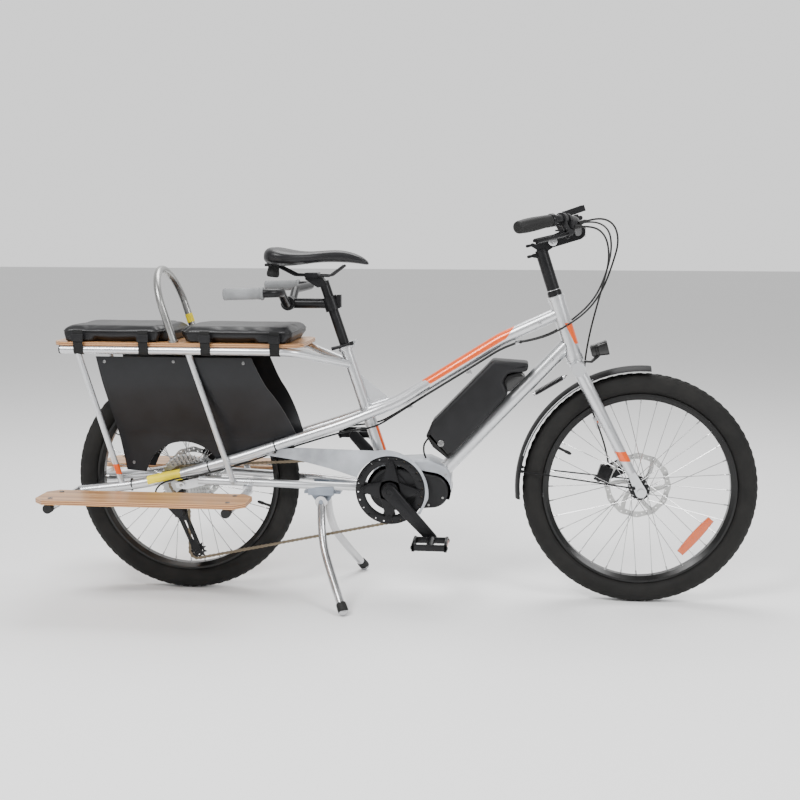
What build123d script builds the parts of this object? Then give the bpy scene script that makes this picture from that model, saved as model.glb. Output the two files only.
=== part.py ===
from build123d import *
import math
import os

# Longtail cargo bicycle. Millimetres, +X forward, +Y left, +Z up.
# Origin on the ground, below the middle of the whole length.

# ---- driving dimensions -------------------------------------------------
TYRE_RADIUS = 313.0
TYRE_HALF_WIDTH = 29.0
WHEELBASE = 1240.0
REAR_X = -609.0
FRONT_X = REAR_X + WHEELBASE
AXLE_Z = TYRE_RADIUS
RIM_INNER = 241.5
RIM_OUTER = 258.0
SPOKES_PER_SIDE = 18
SPOKE_RADIUS = 1.1
SPOKE_GAP = 0.3
FRONT_ROTOR_RADIUS = 90.0
REAR_ROTOR_RADIUS = 80.0

HEAD_BOTTOM = Vector(452, 0, 661)
HEAD_TOP = Vector(397, 0, 828)
HEAD_TUBE_RADIUS = 21.5
STEERER_RADIUS = 14.0
RUNNING_FIT = 0.05

BB = Vector(-38, 0, 303)
SEAT_CLAMP = Vector(-168, 0, 691)
SEAT_TUBE_RADIUS = 17.0
SEATPOST_RADIUS = 13.6
TOP_TUBE_RADIUS = 17.5
DOWN_TUBE_RADIUS = 20.0
SIDE_TUBE_RADIUS = 14.0
STAY_RADIUS = 11.0
STRUT_RADIUS = 8.0
RAIL_RADIUS = 11.0
RAIL_Y = 120.0
RAIL_Z = 681.0
DECK_BOTTOM = RAIL_Z + RAIL_RADIUS
DECK_TOP = DECK_BOTTOM + 10.0
DECK_REAR_X = -944.0
DECK_FRONT_X = -265.0
CUSHION_TOP = 745.0
DROPOUT_INNER_REAR = 67.0
DROPOUT_INNER_FRONT = 50.0

CHAIN_PITCH = 12.7
CHAIN_Y = -49.0
CHAIN_WIDTH = 5.8
CHAIN_HEIGHT = 8.4
CHAINRING_TEETH = 44
SPROCKET_TEETH = 21
PULLEY_TEETH = 11
UPPER_PULLEY = (-620.0, 228.0)
LOWER_PULLEY = (-575.0, 119.0)
CRANK_LENGTH = 170.0
CRANK_ANGLE = -47.0

STAND_PIVOT = (-227.0, 266.0)
STEM_PIVOT = (387.0, 972.0)
BAR_CLAMP = (450.0, 997.0)
BAR_RADIUS = 11.1
CROWN_DROP = 22.0
FENDER_RADIUS = 333.0
HOOP_X = -614.0
HOOP_LEAN = 17.9
HOOP_HALF_WIDTH = 110.0

os.makedirs("parts", exist_ok=True)
head_axis = (HEAD_TOP - HEAD_BOTTOM).normalized()
seat_axis = (SEAT_CLAMP - BB).normalized()
BOTH_SIDES = (-1, 1)


# ---- helpers ------------------------------------------------------------
def pitch_radius(teeth):
    """Radius of the roller circle of a chain wheel."""
    return CHAIN_PITCH / (2 * math.sin(math.pi / teeth))


def polar(centre, radius, degrees):
    """Point (x, z) at an angle from forwards, turning upwards."""
    turn = math.radians(degrees)
    return (centre[0] + radius * math.cos(turn), centre[1] + radius * math.sin(turn))


def along(start, end, distance):
    """Point at a distance from start towards end."""
    return Vector(*start) + (Vector(*end) - Vector(*start)).normalized() * distance


def rod(start, end, radius, tip_radius=None, mode=Mode.ADD):
    """Round bar, or taper, between two points."""
    start, end = Vector(*start), Vector(*end)
    with Locations(Plane(origin=start, z_dir=end - start).location):
        if tip_radius is None:
            Cylinder(radius, (end - start).length, align=(Align.CENTER, Align.CENTER, Align.MIN), mode=mode)
        else:
            Cone(radius, tip_radius, (end - start).length,
                 align=(Align.CENTER, Align.CENTER, Align.MIN), mode=mode)


def axle(centre, radius, y_low, y_high, mode=Mode.ADD):
    """Round bar across the bicycle, centred on (x, z)."""
    rod((centre[0], y_low, centre[1]), (centre[0], y_high, centre[1]), radius, mode=mode)


def side_plane(y):
    """Plane seen from the right side, at one y."""
    return Plane(origin=(0, y, 0), x_dir=(1, 0, 0), z_dir=(0, -1, 0))


def plate(points, y_low, y_high, corner=0.0, mode=Mode.ADD):
    """Flat plate with a side-view outline."""
    with BuildSketch(side_plane(y_high)) as outline:
        with BuildLine():
            Polyline(*points, close=True)
        make_face()
        if corner:
            fillet(outline.vertices(), corner)
    extrude(outline.sketch, amount=y_high - y_low, mode=mode)


def link(centre_a, radius_a, centre_b, radius_b, y_low, y_high, mode=Mode.ADD):
    """Flat link: two round ends and the straight sides between them."""
    with BuildSketch(side_plane(y_high)) as outline:
        with Locations(centre_a):
            Circle(radius_a)
        with Locations(centre_b):
            Circle(radius_b)
        make_hull()
    extrude(outline.sketch, amount=y_high - y_low, mode=mode)


def bent_tube(points, bends, radius, mode=Mode.ADD):
    """Round tube along straight runs joined by arcs."""
    with BuildLine(mode=Mode.PRIVATE) as route:
        FilletPolyline(*points, radius=bends)
    start = Vector(*points[0])
    with BuildSketch(Plane(origin=start, z_dir=Vector(*points[1]) - start)) as section:
        Circle(radius)
    sweep(section.sketch, path=route.line, mode=mode)


def ring(centre, outer, inner, y_low, y_high, mode=Mode.ADD):
    """Flat ring around an axle."""
    with BuildSketch(side_plane(y_high)) as outline:
        with Locations(centre):
            Circle(outer)
            Circle(inner, mode=Mode.SUBTRACT)
    extrude(outline.sketch, amount=y_high - y_low, mode=mode)


def gentle(points, least=20.0):
    """The largest comfortable bend at each inner point of a route."""
    radii = []
    for before, point, after in zip(points, points[1:], points[2:]):
        run_in = Vector(*point) - Vector(*before)
        run_out = Vector(*after) - Vector(*point)
        half_turn = math.radians(run_in.get_angle(run_out)) / 2
        radii.append(max(least, 0.45 * min(run_in.length, run_out.length) / math.tan(half_turn)))
    return radii


def save(piece, name):
    """Label a finished piece and write it."""
    piece.part.label = name
    export_step(piece.part, f"parts/{name}.step")


# ---- drive unit ---------------------------------------------------------
MOTOR_NOSE = (74.0, 299.0)
MOTOR_RIGHT = -44.0
MOTOR_LEFT = 58.0
bb = (BB.X, BB.Z)

with BuildPart() as motor_body:
    link(bb, 60, MOTOR_NOSE, 46, MOTOR_RIGHT, MOTOR_LEFT)
    fillet(motor_body.faces().filter_by(Axis.Y).edges(), 8)
save(motor_body, "motor_body")

with BuildPart() as motor_cover:
    plate([(-92, 318), (-72, 362), (-50, 380), (5, 383), (66, 386), (112, 366), (126, 340), (124, 284)],
          -40, 52, corner=7)
    link(bb, 60.1, MOTOR_NOSE, 46.1, MOTOR_RIGHT - 20, MOTOR_LEFT + 20, mode=Mode.SUBTRACT)
save(motor_cover, "motor_cover")

# ---- main tubes ---------------------------------------------------------
with BuildPart() as head_tube:
    rod(HEAD_BOTTOM, HEAD_TOP, HEAD_TUBE_RADIUS)
    for end, inwards in ((HEAD_BOTTOM, head_axis), (HEAD_TOP, head_axis * -1)):
        rod(end, end + inwards * 12, HEAD_TUBE_RADIUS + 2)
    rod(HEAD_BOTTOM, HEAD_TOP, STEERER_RADIUS + RUNNING_FIT, mode=Mode.SUBTRACT)

with BuildPart() as down_tube:
    rod((108, 0, 356), (440, 0, 709), DOWN_TUBE_RADIUS)
    rod(HEAD_BOTTOM - head_axis * 9, HEAD_TOP, HEAD_TUBE_RADIUS + 2.01, mode=Mode.SUBTRACT)
    add(motor_cover.part, mode=Mode.SUBTRACT)
    link(bb, 60, MOTOR_NOSE, 46, -50, 60, mode=Mode.SUBTRACT)

with BuildPart() as front_frame:
    add(head_tube.part)
    add(down_tube.part)
save(front_frame, "front_frame")

seat_bore_end = BB + seat_axis * 225
with BuildPart() as seat_tube:
    rod(BB + seat_axis * 62, SEAT_CLAMP, SEAT_TUBE_RADIUS)
    rod(SEAT_CLAMP - seat_axis * 14, SEAT_CLAMP, SEAT_TUBE_RADIUS + 5)
    plate([(-150, 640), (-126, 612), (-38, 541), (-104, 512)], -2.5, 2.5)
    plate([(-160, 682), (-139, 689), (-135, 707), (-156, 700)], -13, 13)
    axle((-146, 698), 4, -20, 18)
    rod(seat_bore_end, SEAT_CLAMP + seat_axis * 12, SEATPOST_RADIUS + RUNNING_FIT, mode=Mode.SUBTRACT)
    add(motor_cover.part, mode=Mode.SUBTRACT)
    link(bb, 60, MOTOR_NOSE, 46, -50, 60, mode=Mode.SUBTRACT)
save(seat_tube, "seat_tube")

TOP_TUBE_ROUTE = [(412, 0, 785), (255, 0, 712), (50, 0, 582), (-20, 0, 540), (-104, 0, 510)]
TOP_TUBE_BENDS = [300, 400, 150]
with BuildPart() as top_tube:
    bent_tube(TOP_TUBE_ROUTE, TOP_TUBE_BENDS, TOP_TUBE_RADIUS)
    rod(HEAD_BOTTOM, HEAD_TOP + head_axis * 9, HEAD_TUBE_RADIUS, mode=Mode.SUBTRACT)
    rod(HEAD_TOP - head_axis * 12, HEAD_TOP + head_axis * 9, HEAD_TUBE_RADIUS + 2.01, mode=Mode.SUBTRACT)
    rod(BB, SEAT_CLAMP, SEAT_TUBE_RADIUS, mode=Mode.SUBTRACT)
    plate([(-150, 640), (-126, 612), (-38, 541), (-104, 512)], -2.5, 2.5, mode=Mode.SUBTRACT)
save(top_tube, "top_tube")

# ---- running boards and the stubs that carry them -----------------------
BOARD_REAR_X = -934.0
BOARD_FRONT_X = -382.0
BOARD_INNER_Y = 190.0
BOARD_OUTER_Y = 320.0
BOARD_BOTTOM = 300.0
BOARD_THICKNESS = 12.0
STUB_RADIUS = 11.0
STUB_Z = BOARD_BOTTOM - STUB_RADIUS
REAR_STUB_X = -894.0
FRONT_STUB_X = -428.0
STAY_ROUTE = [(-82, 31, 300), (-138, 33.5, 305), (-262, 55, 312), (-562, 72.5, 322)]
BOARD_LENGTH = BOARD_FRONT_X - BOARD_REAR_X
board_centre_x = (BOARD_FRONT_X + BOARD_REAR_X) / 2
board_centre_y = (BOARD_INNER_Y + BOARD_OUTER_Y) / 2

with BuildPart() as running_boards:
    with BuildSketch(Plane.XY.offset(BOARD_BOTTOM)) as board_outline:
        with Locations((board_centre_x, -board_centre_y), (board_centre_x, board_centre_y)):
            Rectangle(BOARD_LENGTH, BOARD_OUTER_Y - BOARD_INNER_Y)
        chamfer(board_outline.vertices(), 26)
    extrude(amount=BOARD_THICKNESS)
save(running_boards, "running_boards")

with BuildPart() as board_supports:
    for side in BOTH_SIDES:
        rod((REAR_STUB_X, side * 76, STUB_Z), (REAR_STUB_X, side * 318, STUB_Z), STUB_RADIUS)
        rod((FRONT_STUB_X, side * 58, STUB_Z), (FRONT_STUB_X, side * 318, STUB_Z), STUB_RADIUS)
        with Locations((FRONT_STUB_X, side * 65, STUB_Z + 9)):
            Box(26, 8, 18)
    for side in BOTH_SIDES:
        near, far = ((x, side * y, z) for x, y, z in STAY_ROUTE[-2:])
        rod(near, far, STAY_RADIUS, mode=Mode.SUBTRACT)
save(board_supports, "board_supports")

SIDE_ROUTE = [(60, 4, 589), (-15, 34, 543), (-80, 52, 517), (-172, 60, 480), (-300, 62, 437),
              (-433, 68, 390), (-697, 80, 312), (-894, 90, 288)]
with BuildPart() as side_tubes:
    for side in BOTH_SIDES:
        route = [(x, side * y, z) for x, y, z in SIDE_ROUTE]
        bent_tube(route, gentle(route), SIDE_TUBE_RADIUS)
    add(top_tube.part, mode=Mode.SUBTRACT)
    add(board_supports.part, mode=Mode.SUBTRACT)
    bent_tube(TOP_TUBE_ROUTE, TOP_TUBE_BENDS, TOP_TUBE_RADIUS, mode=Mode.SUBTRACT)
    rod(BB, SEAT_CLAMP, SEAT_TUBE_RADIUS, mode=Mode.SUBTRACT)
save(side_tubes, "side_tubes")

with BuildPart() as rear_stays:
    for side in BOTH_SIDES:
        route = [(x, side * y, z) for x, y, z in STAY_ROUTE]
        bent_tube(route, [120, 300], STAY_RADIUS)
        low, high = sorted((side * DROPOUT_INNER_REAR, side * (DROPOUT_INNER_REAR + 8)))
        plate([(-545, 333), (-545, 309), (-598, 296), (-624, 299), (-628, 313), (-600, 320)], low, high)
        nut_low, nut_high = sorted((side * (DROPOUT_INNER_REAR + 8), side * (DROPOUT_INNER_REAR + 16)))
        axle((REAR_X, AXLE_Z - 5), 9, nut_low, nut_high)
    link(bb, 60, MOTOR_NOSE, 46, -80, 80, mode=Mode.SUBTRACT)
    add(side_tubes.part, mode=Mode.SUBTRACT)
save(rear_stays, "rear_stays")

# ---- rack: rails, struts, deck, seats, hoop, skirts ---------------------
RAIL_ROUTE = [(-922, RAIL_Y, RAIL_Z), (-300, RAIL_Y, RAIL_Z), (-156, 15, 640)]
with BuildPart() as rack_rails:
    for side in BOTH_SIDES:
        route = [(x, side * y, z) for x, y, z in RAIL_ROUTE]
        bent_tube(route, [70], RAIL_RADIUS)
    for x in (-874, -614, -340):
        rod((x, -108.7, RAIL_Z), (x, 108.7, RAIL_Z), STRUT_RADIUS)
    rod(BB, SEAT_CLAMP, SEAT_TUBE_RADIUS, mode=Mode.SUBTRACT)
save(rack_rails, "rack_rails")

with BuildPart() as rack_struts:
    for side in BOTH_SIDES:
        rod((-875, side * 120, RAIL_Z), (-768, side * 86, 296), STRUT_RADIUS)
        rod((-574, side * 118, RAIL_Z), (-461, side * 89, 318), STRUT_RADIUS)
        low, high = sorted((side * 78.5, side * 99))
        axle((-461, 320), 6, low, high)
    add(rack_rails.part, mode=Mode.SUBTRACT)
    add(side_tubes.part, mode=Mode.SUBTRACT)
    add(rear_stays.part, mode=Mode.SUBTRACT)
save(rack_struts, "rack_struts")

DECK_HALF_WIDTH = 126.0
with BuildPart() as deck_board:
    with BuildSketch(Plane.XY.offset(DECK_BOTTOM)) as deck_outline:
        with Locations(((DECK_REAR_X + DECK_FRONT_X) / 2, 0)):
            Rectangle(DECK_FRONT_X - DECK_REAR_X, 2 * DECK_HALF_WIDTH)
        fillet(deck_outline.vertices(), 40)
    extrude(amount=DECK_TOP - DECK_BOTTOM)
save(deck_board, "deck_board")

CUSHION_HALF_WIDTH = 130.0
CUSHION_JOIN_X = -614.0
cushion_bottom = DECK_TOP + 0.3
HOOP_FOOT_RADIUS = 14.0


def cushion(rear_x, front_x, notch_x, notch_length):
    """Plain padded block with a notch at each hoop leg."""
    height = CUSHION_TOP - cushion_bottom
    with Locations(((rear_x + front_x) / 2, 0, cushion_bottom + height / 2)):
        block = Box(front_x - rear_x, 2 * CUSHION_HALF_WIDTH, height)
    fillet(block.edges().filter_by(Axis.Z), 30)
    for side in BOTH_SIDES:
        with Locations((notch_x, side * (CUSHION_HALF_WIDTH - 18), cushion_bottom + height / 2)):
            Box(notch_length, 52, height + 4, mode=Mode.SUBTRACT)


CUSHION_REAR_X = -924.0
CUSHION_FRONT_X = -284.0
CUSHION_GAP = 3.0
with BuildPart() as cushions:
    cushion(CUSHION_REAR_X, CUSHION_JOIN_X - CUSHION_GAP / 2, CUSHION_JOIN_X - CUSHION_GAP / 2, 66)
    cushion(CUSHION_JOIN_X + CUSHION_GAP / 2, CUSHION_FRONT_X, CUSHION_JOIN_X + CUSHION_GAP / 2, 36)
save(cushions, "cushions")

HOOP_TUBE_RADIUS = 10.0
HOOP_STRAIGHT = 98.0
HOOP_FOOT_HEIGHT = 6.0
lean = math.radians(HOOP_LEAN)
hoop_plane = Plane(origin=(HOOP_X, 0, DECK_TOP + HOOP_FOOT_HEIGHT), x_dir=(0, 1, 0),
                   z_dir=(math.cos(lean), 0, math.sin(lean)))
with BuildPart() as hoop_rail:
    with BuildLine(hoop_plane) as hoop_route:
        Line((-HOOP_HALF_WIDTH, -3), (-HOOP_HALF_WIDTH, HOOP_STRAIGHT))
        ThreePointArc((-HOOP_HALF_WIDTH, HOOP_STRAIGHT), (0, HOOP_STRAIGHT + HOOP_HALF_WIDTH - 14),
                      (HOOP_HALF_WIDTH, HOOP_STRAIGHT))
        Line((HOOP_HALF_WIDTH, HOOP_STRAIGHT), (HOOP_HALF_WIDTH, -3))
    with BuildSketch(Plane(origin=hoop_route.line @ 0, z_dir=hoop_route.line % 0)):
        Circle(HOOP_TUBE_RADIUS)
    sweep(path=hoop_route.line)
    with Locations((HOOP_X, -HOOP_HALF_WIDTH, DECK_TOP), (HOOP_X, HOOP_HALF_WIDTH, DECK_TOP)):
        Cylinder(HOOP_FOOT_RADIUS, HOOP_FOOT_HEIGHT, align=(Align.CENTER, Align.CENTER, Align.MIN))
    with Locations((HOOP_X, 0, DECK_TOP - 10)):
        Box(80, 300, 20, mode=Mode.SUBTRACT)
save(hoop_rail, "hoop_rail")

SKIRT_PROFILE = [(106.5, 664), (97, 592), (84, 551), (62, 481), (43, 434), (42, 330)]
SKIRT_THICKNESS = 2.5
SKIRT_CUTOUT = 110.0
with BuildPart() as skirts:
    for side in BOTH_SIDES:
        with BuildSketch(Plane.YZ.offset(-840)) as skirt_profile:
            with BuildLine():
                Polyline(*[(side * y, z) for y, z in SKIRT_PROFILE])
            trace(line_width=SKIRT_THICKNESS)
        extrude(amount=560)
    plate([(-829, 662), (-404, 662), (-375, 592), (-342, 551), (-306, 481), (-291, 437), (-433, 392),
           (-520, 368), (-710, 336), (-772, 340)], -120, 120, mode=Mode.INTERSECT)
    axle((REAR_X, AXLE_Z), SKIRT_CUTOUT, -120, 120, mode=Mode.SUBTRACT)
save(skirts, "skirts")

# ---- wheels -------------------------------------------------------------
front_axle = (FRONT_X, AXLE_Z)
rear_axle = (REAR_X, AXLE_Z)


def wheel_ring(centre, profile):
    """Ring around an axle from a (y, radius) profile."""
    frame = Plane(origin=(centre[0], 0, centre[1]), x_dir=(0, 1, 0), z_dir=(1, 0, 0))
    with BuildSketch(frame) as section:
        with BuildLine():
            Polyline(*profile, close=True)
        make_face()
    revolve(section.sketch, axis=Axis((centre[0], 0, centre[1]), (0, 1, 0)))


def tyre_ring(centre):
    """Round tyre section, cut flat where it sits on the rim."""
    frame = Plane(origin=(centre[0], 0, centre[1]), x_dir=(0, 1, 0), z_dir=(1, 0, 0))
    middle = TYRE_RADIUS - TYRE_HALF_WIDTH
    with BuildSketch(frame) as section:
        with Locations((0, middle)):
            Circle(TYRE_HALF_WIDTH)
        with Locations((0, RIM_OUTER - 10)):
            Rectangle(60, 20, mode=Mode.SUBTRACT)
    revolve(section.sketch, axis=Axis((centre[0], 0, centre[1]), (0, 1, 0)))


def spokes(centre, flange_radius, flange_y, first):
    """Spokes from one hub flange to the rim, each a piece of its own."""
    for count in range(SPOKES_PER_SIDE):
        angle = first + count * 360 / SPOKES_PER_SIDE
        inner = polar(centre, flange_radius + SPOKE_GAP, angle)
        outer = polar(centre, RIM_INNER - SPOKE_GAP, angle)
        rod((inner[0], flange_y, inner[1]), (outer[0], 0, outer[1]), SPOKE_RADIUS)


def rotor(centre, y, radius):
    """Brake disc with six arms."""
    ring(centre, radius, radius - 15, y - 1, y + 1)
    ring(centre, 22, 10, y - 1, y + 1)
    for count in range(6):
        angle = count * 60
        link(polar(centre, 18, angle), 4, polar(centre, radius - 12, angle + 24), 3, y - 1, y + 1)


RIM_PROFILE = [(-10, RIM_INNER), (10, RIM_INNER), (17, RIM_OUTER - 6), (17, RIM_OUTER - 0.01),
               (-17, RIM_OUTER - 0.01), (-17, RIM_OUTER - 6)]
with BuildPart() as front_tyre:
    tyre_ring(front_axle)
save(front_tyre, "front_tyre")

with BuildPart() as rear_tyre:
    tyre_ring(rear_axle)
save(rear_tyre, "rear_tyre")

with BuildPart() as front_rim:
    wheel_ring(front_axle, RIM_PROFILE)
save(front_rim, "front_rim")

with BuildPart() as rear_rim:
    wheel_ring(rear_axle, RIM_PROFILE)
save(rear_rim, "rear_rim")

FRONT_ROTOR_Y = 38.0
REAR_ROTOR_Y = 51.0
FRONT_FLANGE_RADIUS = 25.0
REAR_FLANGE_RADIUS = 27.0
FRONT_FLANGES = (-28.0, 28.0)
REAR_FLANGES = (-21.0, 36.0)
FLANGE_HALF = 1.5
HALF_STEP = 180 / SPOKES_PER_SIDE
with BuildPart() as front_hub:
    axle(front_axle, 16, -30, 30)
    for flange_y in FRONT_FLANGES:
        axle(front_axle, FRONT_FLANGE_RADIUS, flange_y - FLANGE_HALF, flange_y + FLANGE_HALF)
    axle(front_axle, 12, -DROPOUT_INNER_FRONT + 0.1, DROPOUT_INNER_FRONT - 0.1)
    rotor(front_axle, FRONT_ROTOR_Y, FRONT_ROTOR_RADIUS)
save(front_hub, "front_hub")

with BuildPart() as front_spokes:
    for flange_y, first in zip(FRONT_FLANGES, (0, HALF_STEP)):
        spokes(front_axle, FRONT_FLANGE_RADIUS, flange_y, first)
save(front_spokes, "front_spokes")

HUB_BODY_RADIUS = 17.0
with BuildPart() as rear_hub:
    axle(rear_axle, HUB_BODY_RADIUS, -60, 40)
    for flange_y in REAR_FLANGES:
        axle(rear_axle, REAR_FLANGE_RADIUS, flange_y - FLANGE_HALF, flange_y + FLANGE_HALF)
    axle(rear_axle, 12, -DROPOUT_INNER_REAR + 0.1, DROPOUT_INNER_REAR - 0.1)
    rotor(rear_axle, REAR_ROTOR_Y, REAR_ROTOR_RADIUS)
save(rear_hub, "rear_hub")

with BuildPart() as rear_spokes:
    for flange_y, first in zip(REAR_FLANGES, (0, HALF_STEP)):
        spokes(rear_axle, REAR_FLANGE_RADIUS, flange_y, first)
save(rear_spokes, "rear_spokes")

SPROCKET_COUNT = 8
SPROCKET_SPACING = 4.2
SPROCKET_HALF = 0.9
CHAIN_SPROCKET = 5
SPROCKET_STEP = 5.6
ROOT_DROP = CHAIN_HEIGHT / 2 + 0.4
sprocket_pitch = pitch_radius(SPROCKET_TEETH)
with BuildPart() as cassette:
    for count in range(SPROCKET_COUNT):
        y = CHAIN_Y + (CHAIN_SPROCKET - count) * SPROCKET_SPACING
        radius = sprocket_pitch + (CHAIN_SPROCKET - count) * SPROCKET_STEP - ROOT_DROP
        axle(rear_axle, radius, y - SPROCKET_HALF, y + SPROCKET_HALF)
    axle(rear_axle, 21, CHAIN_Y - 10, CHAIN_Y + 22)
    axle(rear_axle, HUB_BODY_RADIUS + RUNNING_FIT, -70, -20, mode=Mode.SUBTRACT)
save(cassette, "cassette")

# ---- crank, chain, pulleys ----------------------------------------------
ring_pitch = pitch_radius(CHAINRING_TEETH)
pulley_pitch = pitch_radius(PULLEY_TEETH)
ARM_INNER = 74.0
ARM_OUTER = 86.0
PEDAL_AXLE_RADIUS = 6.0
pedal_right_at = polar(bb, CRANK_LENGTH, CRANK_ANGLE)
pedal_left_at = polar(bb, CRANK_LENGTH, CRANK_ANGLE + 180)
with BuildPart() as crankset:
    axle(bb, ring_pitch - ROOT_DROP, CHAIN_Y - 1.5, CHAIN_Y + 1.5)
    ring(bb, ring_pitch - ROOT_DROP - 14, 44, CHAIN_Y - 2, CHAIN_Y + 2, mode=Mode.SUBTRACT)
    for count in range(4):
        link(bb, 14, polar(bb, ring_pitch - ROOT_DROP - 10, CRANK_ANGLE + 45 + count * 90), 6,
             CHAIN_Y - 1.5, CHAIN_Y + 1.5)
    axle(bb, 24, -ARM_INNER, CHAIN_Y + 1.5)
    ring(bb, ring_pitch + 5, ring_pitch - 16, -58, -55)
    for count in range(4):
        axle(polar(bb, ring_pitch - ROOT_DROP - 10, CRANK_ANGLE + 45 + count * 90), 5, -56, CHAIN_Y)
    link(bb, 20, pedal_right_at, 13, -ARM_OUTER, -ARM_INNER)
    link(bb, 20, pedal_left_at, 13, ARM_INNER, ARM_OUTER)
    axle(bb, 12, MOTOR_LEFT + 0.1, ARM_INNER)
    axle(pedal_right_at, PEDAL_AXLE_RADIUS, -182, -ARM_OUTER)
    axle(pedal_left_at, PEDAL_AXLE_RADIUS, ARM_OUTER, 182)
save(crankset, "crankset")

PEDAL_LENGTH = 94.0
PEDAL_INNER = 95.0
PEDAL_OUTER = 184.0
PEDAL_THICKNESS = 22.0


def pedal(centre, side):
    """Cage pedal on its axle."""
    middle_y = side * (PEDAL_INNER + PEDAL_OUTER) / 2
    width = PEDAL_OUTER - PEDAL_INNER
    with Locations((centre[0], middle_y, centre[1])):
        Box(PEDAL_LENGTH, width, PEDAL_THICKNESS)
        with GridLocations(56, 0, 2, 1):
            Box(26, width - 22, PEDAL_THICKNESS + 2, mode=Mode.SUBTRACT)
    low, high = sorted((side * (PEDAL_INNER - 6), side * (PEDAL_OUTER + 4)))
    axle(centre, 11, low, high)
    axle(centre, PEDAL_AXLE_RADIUS + RUNNING_FIT, low - 1 if side > 0 else low + 3,
         high - 3 if side > 0 else high + 1, mode=Mode.SUBTRACT)


with BuildPart() as pedal_right:
    pedal(pedal_right_at, -1)
save(pedal_right, "pedal_right")

with BuildPart() as pedal_left:
    pedal(pedal_left_at, 1)
save(pedal_left, "pedal_left")

# The chain turns over each wheel in travel order; a negative radius turns backwards.
CHAIN_WHEELS = [(bb, ring_pitch), (LOWER_PULLEY, pulley_pitch), (UPPER_PULLEY, -pulley_pitch),
                (rear_axle, sprocket_pitch)]


def run_normal(wheel_a, wheel_b):
    """Angle from a wheel's centre to where the straight chain run leaves it."""
    (centre_a, radius_a), (centre_b, radius_b) = wheel_a, wheel_b
    across, up = centre_b[0] - centre_a[0], centre_b[1] - centre_a[1]
    distance = math.hypot(across, up)
    lean_in = (radius_a - radius_b) / distance
    return math.degrees(math.atan2(up, across) + math.acos(lean_in))


with BuildPart() as chain:
    with BuildSketch(side_plane(CHAIN_Y + CHAIN_WIDTH / 2)) as chain_band:
        with BuildLine():
            count = len(CHAIN_WHEELS)
            for index, wheel in enumerate(CHAIN_WHEELS):
                before, after = CHAIN_WHEELS[index - 1], CHAIN_WHEELS[(index + 1) % count]
                arriving, leaving = run_normal(before, wheel), run_normal(wheel, after)
                turn = (leaving - arriving) % 360 if wheel[1] < 0 else -((arriving - leaving) % 360)
                arc = [polar(wheel[0], wheel[1], arriving + turn * part) for part in (0, 0.5, 1)]
                ThreePointArc(*arc)
                Line(arc[2], polar(after[0], after[1], leaving))
        trace(line_width=CHAIN_HEIGHT)
    extrude(amount=CHAIN_WIDTH)
save(chain, "chain")

PULLEY_HALF = 2.2
PULLEY_PIN = 2.5


def pulley(centre):
    """Guide wheel of the derailleur."""
    ring(centre, pulley_pitch - ROOT_DROP, PULLEY_PIN + RUNNING_FIT, CHAIN_Y - PULLEY_HALF,
         CHAIN_Y + PULLEY_HALF)


with BuildPart() as jockey_upper:
    pulley(UPPER_PULLEY)
save(jockey_upper, "jockey_upper")

with BuildPart() as jockey_lower:
    pulley(LOWER_PULLEY)
save(jockey_lower, "jockey_lower")

CAGE_OUTER = CHAIN_Y - 5.5
CAGE_INNER = CHAIN_Y + 5.5
with BuildPart() as derailleur:
    for low, high in ((CAGE_OUTER - 2, CAGE_OUTER), (CAGE_INNER, CAGE_INNER + 2)):
        link(UPPER_PULLEY, 13, LOWER_PULLEY, 11, low, high)
    for centre in (UPPER_PULLEY, LOWER_PULLEY):
        axle(centre, PULLEY_PIN, CAGE_OUTER - 2, CAGE_INNER + 2)
    axle(UPPER_PULLEY, 10, -63, CAGE_OUTER - 1)
    link(UPPER_PULLEY, 14, (-642, 252), 15, -76, -62)
    link((-642, 252), 13, (-612, 286), 8, -76, -67)
save(derailleur, "derailleur")

GUARD_OUTER = -64.0
with BuildPart() as chain_guard:
    with BuildSketch(side_plane(GUARD_OUTER)) as guard_outline:
        with BuildLine():
            Polyline((66, 282), (45, 240), (-38, 280), (-126, 338), (-200, 361), (-282, 381),
                     (-381, 395), (-369, 409), (-281, 416), (-77, 412))
            ThreePointArc((-77, 412), (34, 378), (66, 282))
        make_face()
        with Locations(bb):
            Circle(ring_pitch + 7, mode=Mode.SUBTRACT)
    extrude(amount=4)
save(chain_guard, "chain_guard")

# ---- double-leg stand ---------------------------------------------------
STAND_PIN = 6.0
with BuildPart() as stand_bracket:
    with Locations((STAND_PIVOT[0], 0, 288)):
        Box(100, 74, 7)
    for side in BOTH_SIDES:
        low, high = sorted((side * 33, side * 39))
        plate([(-262, 288), (-192, 288), (-214, 257), (-240, 257)], low, high, corner=6)
        block_low, block_high = sorted((side * 37, side * 62))
        plate([(-262, 285), (-192, 285), (-192, 318), (-262, 318)], block_low, block_high)
    axle(STAND_PIVOT, STAND_PIN, -60, 60)
    add(rear_stays.part, mode=Mode.SUBTRACT)
    for side in BOTH_SIDES:
        with Locations((STAND_PIVOT[0], side * 50, 318)):
            Box(90, 40, 20, mode=Mode.SUBTRACT)
save(stand_bracket, "stand_bracket")

LEG_ROUTE = [(STAND_PIVOT[0], 50, STAND_PIVOT[1]), (-224, 68, 205), (-213, 100, 148),
             (-188, 145, 96), (-144, 218, 14)]
with BuildPart() as kickstand:
    for side in BOTH_SIDES:
        route = [(x, side * y, z) for x, y, z in LEG_ROUTE]
        bent_tube(route, gentle(route), 11)
        low, high = sorted((side * 39.6, side * 59.6))
        axle(STAND_PIVOT, 16, low, high)
        with Locations((-144, side * 218, 14)):
            Sphere(14)
    axle(STAND_PIVOT, STAND_PIN + RUNNING_FIT, -70, 70, mode=Mode.SUBTRACT)
save(kickstand, "kickstand")

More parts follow.
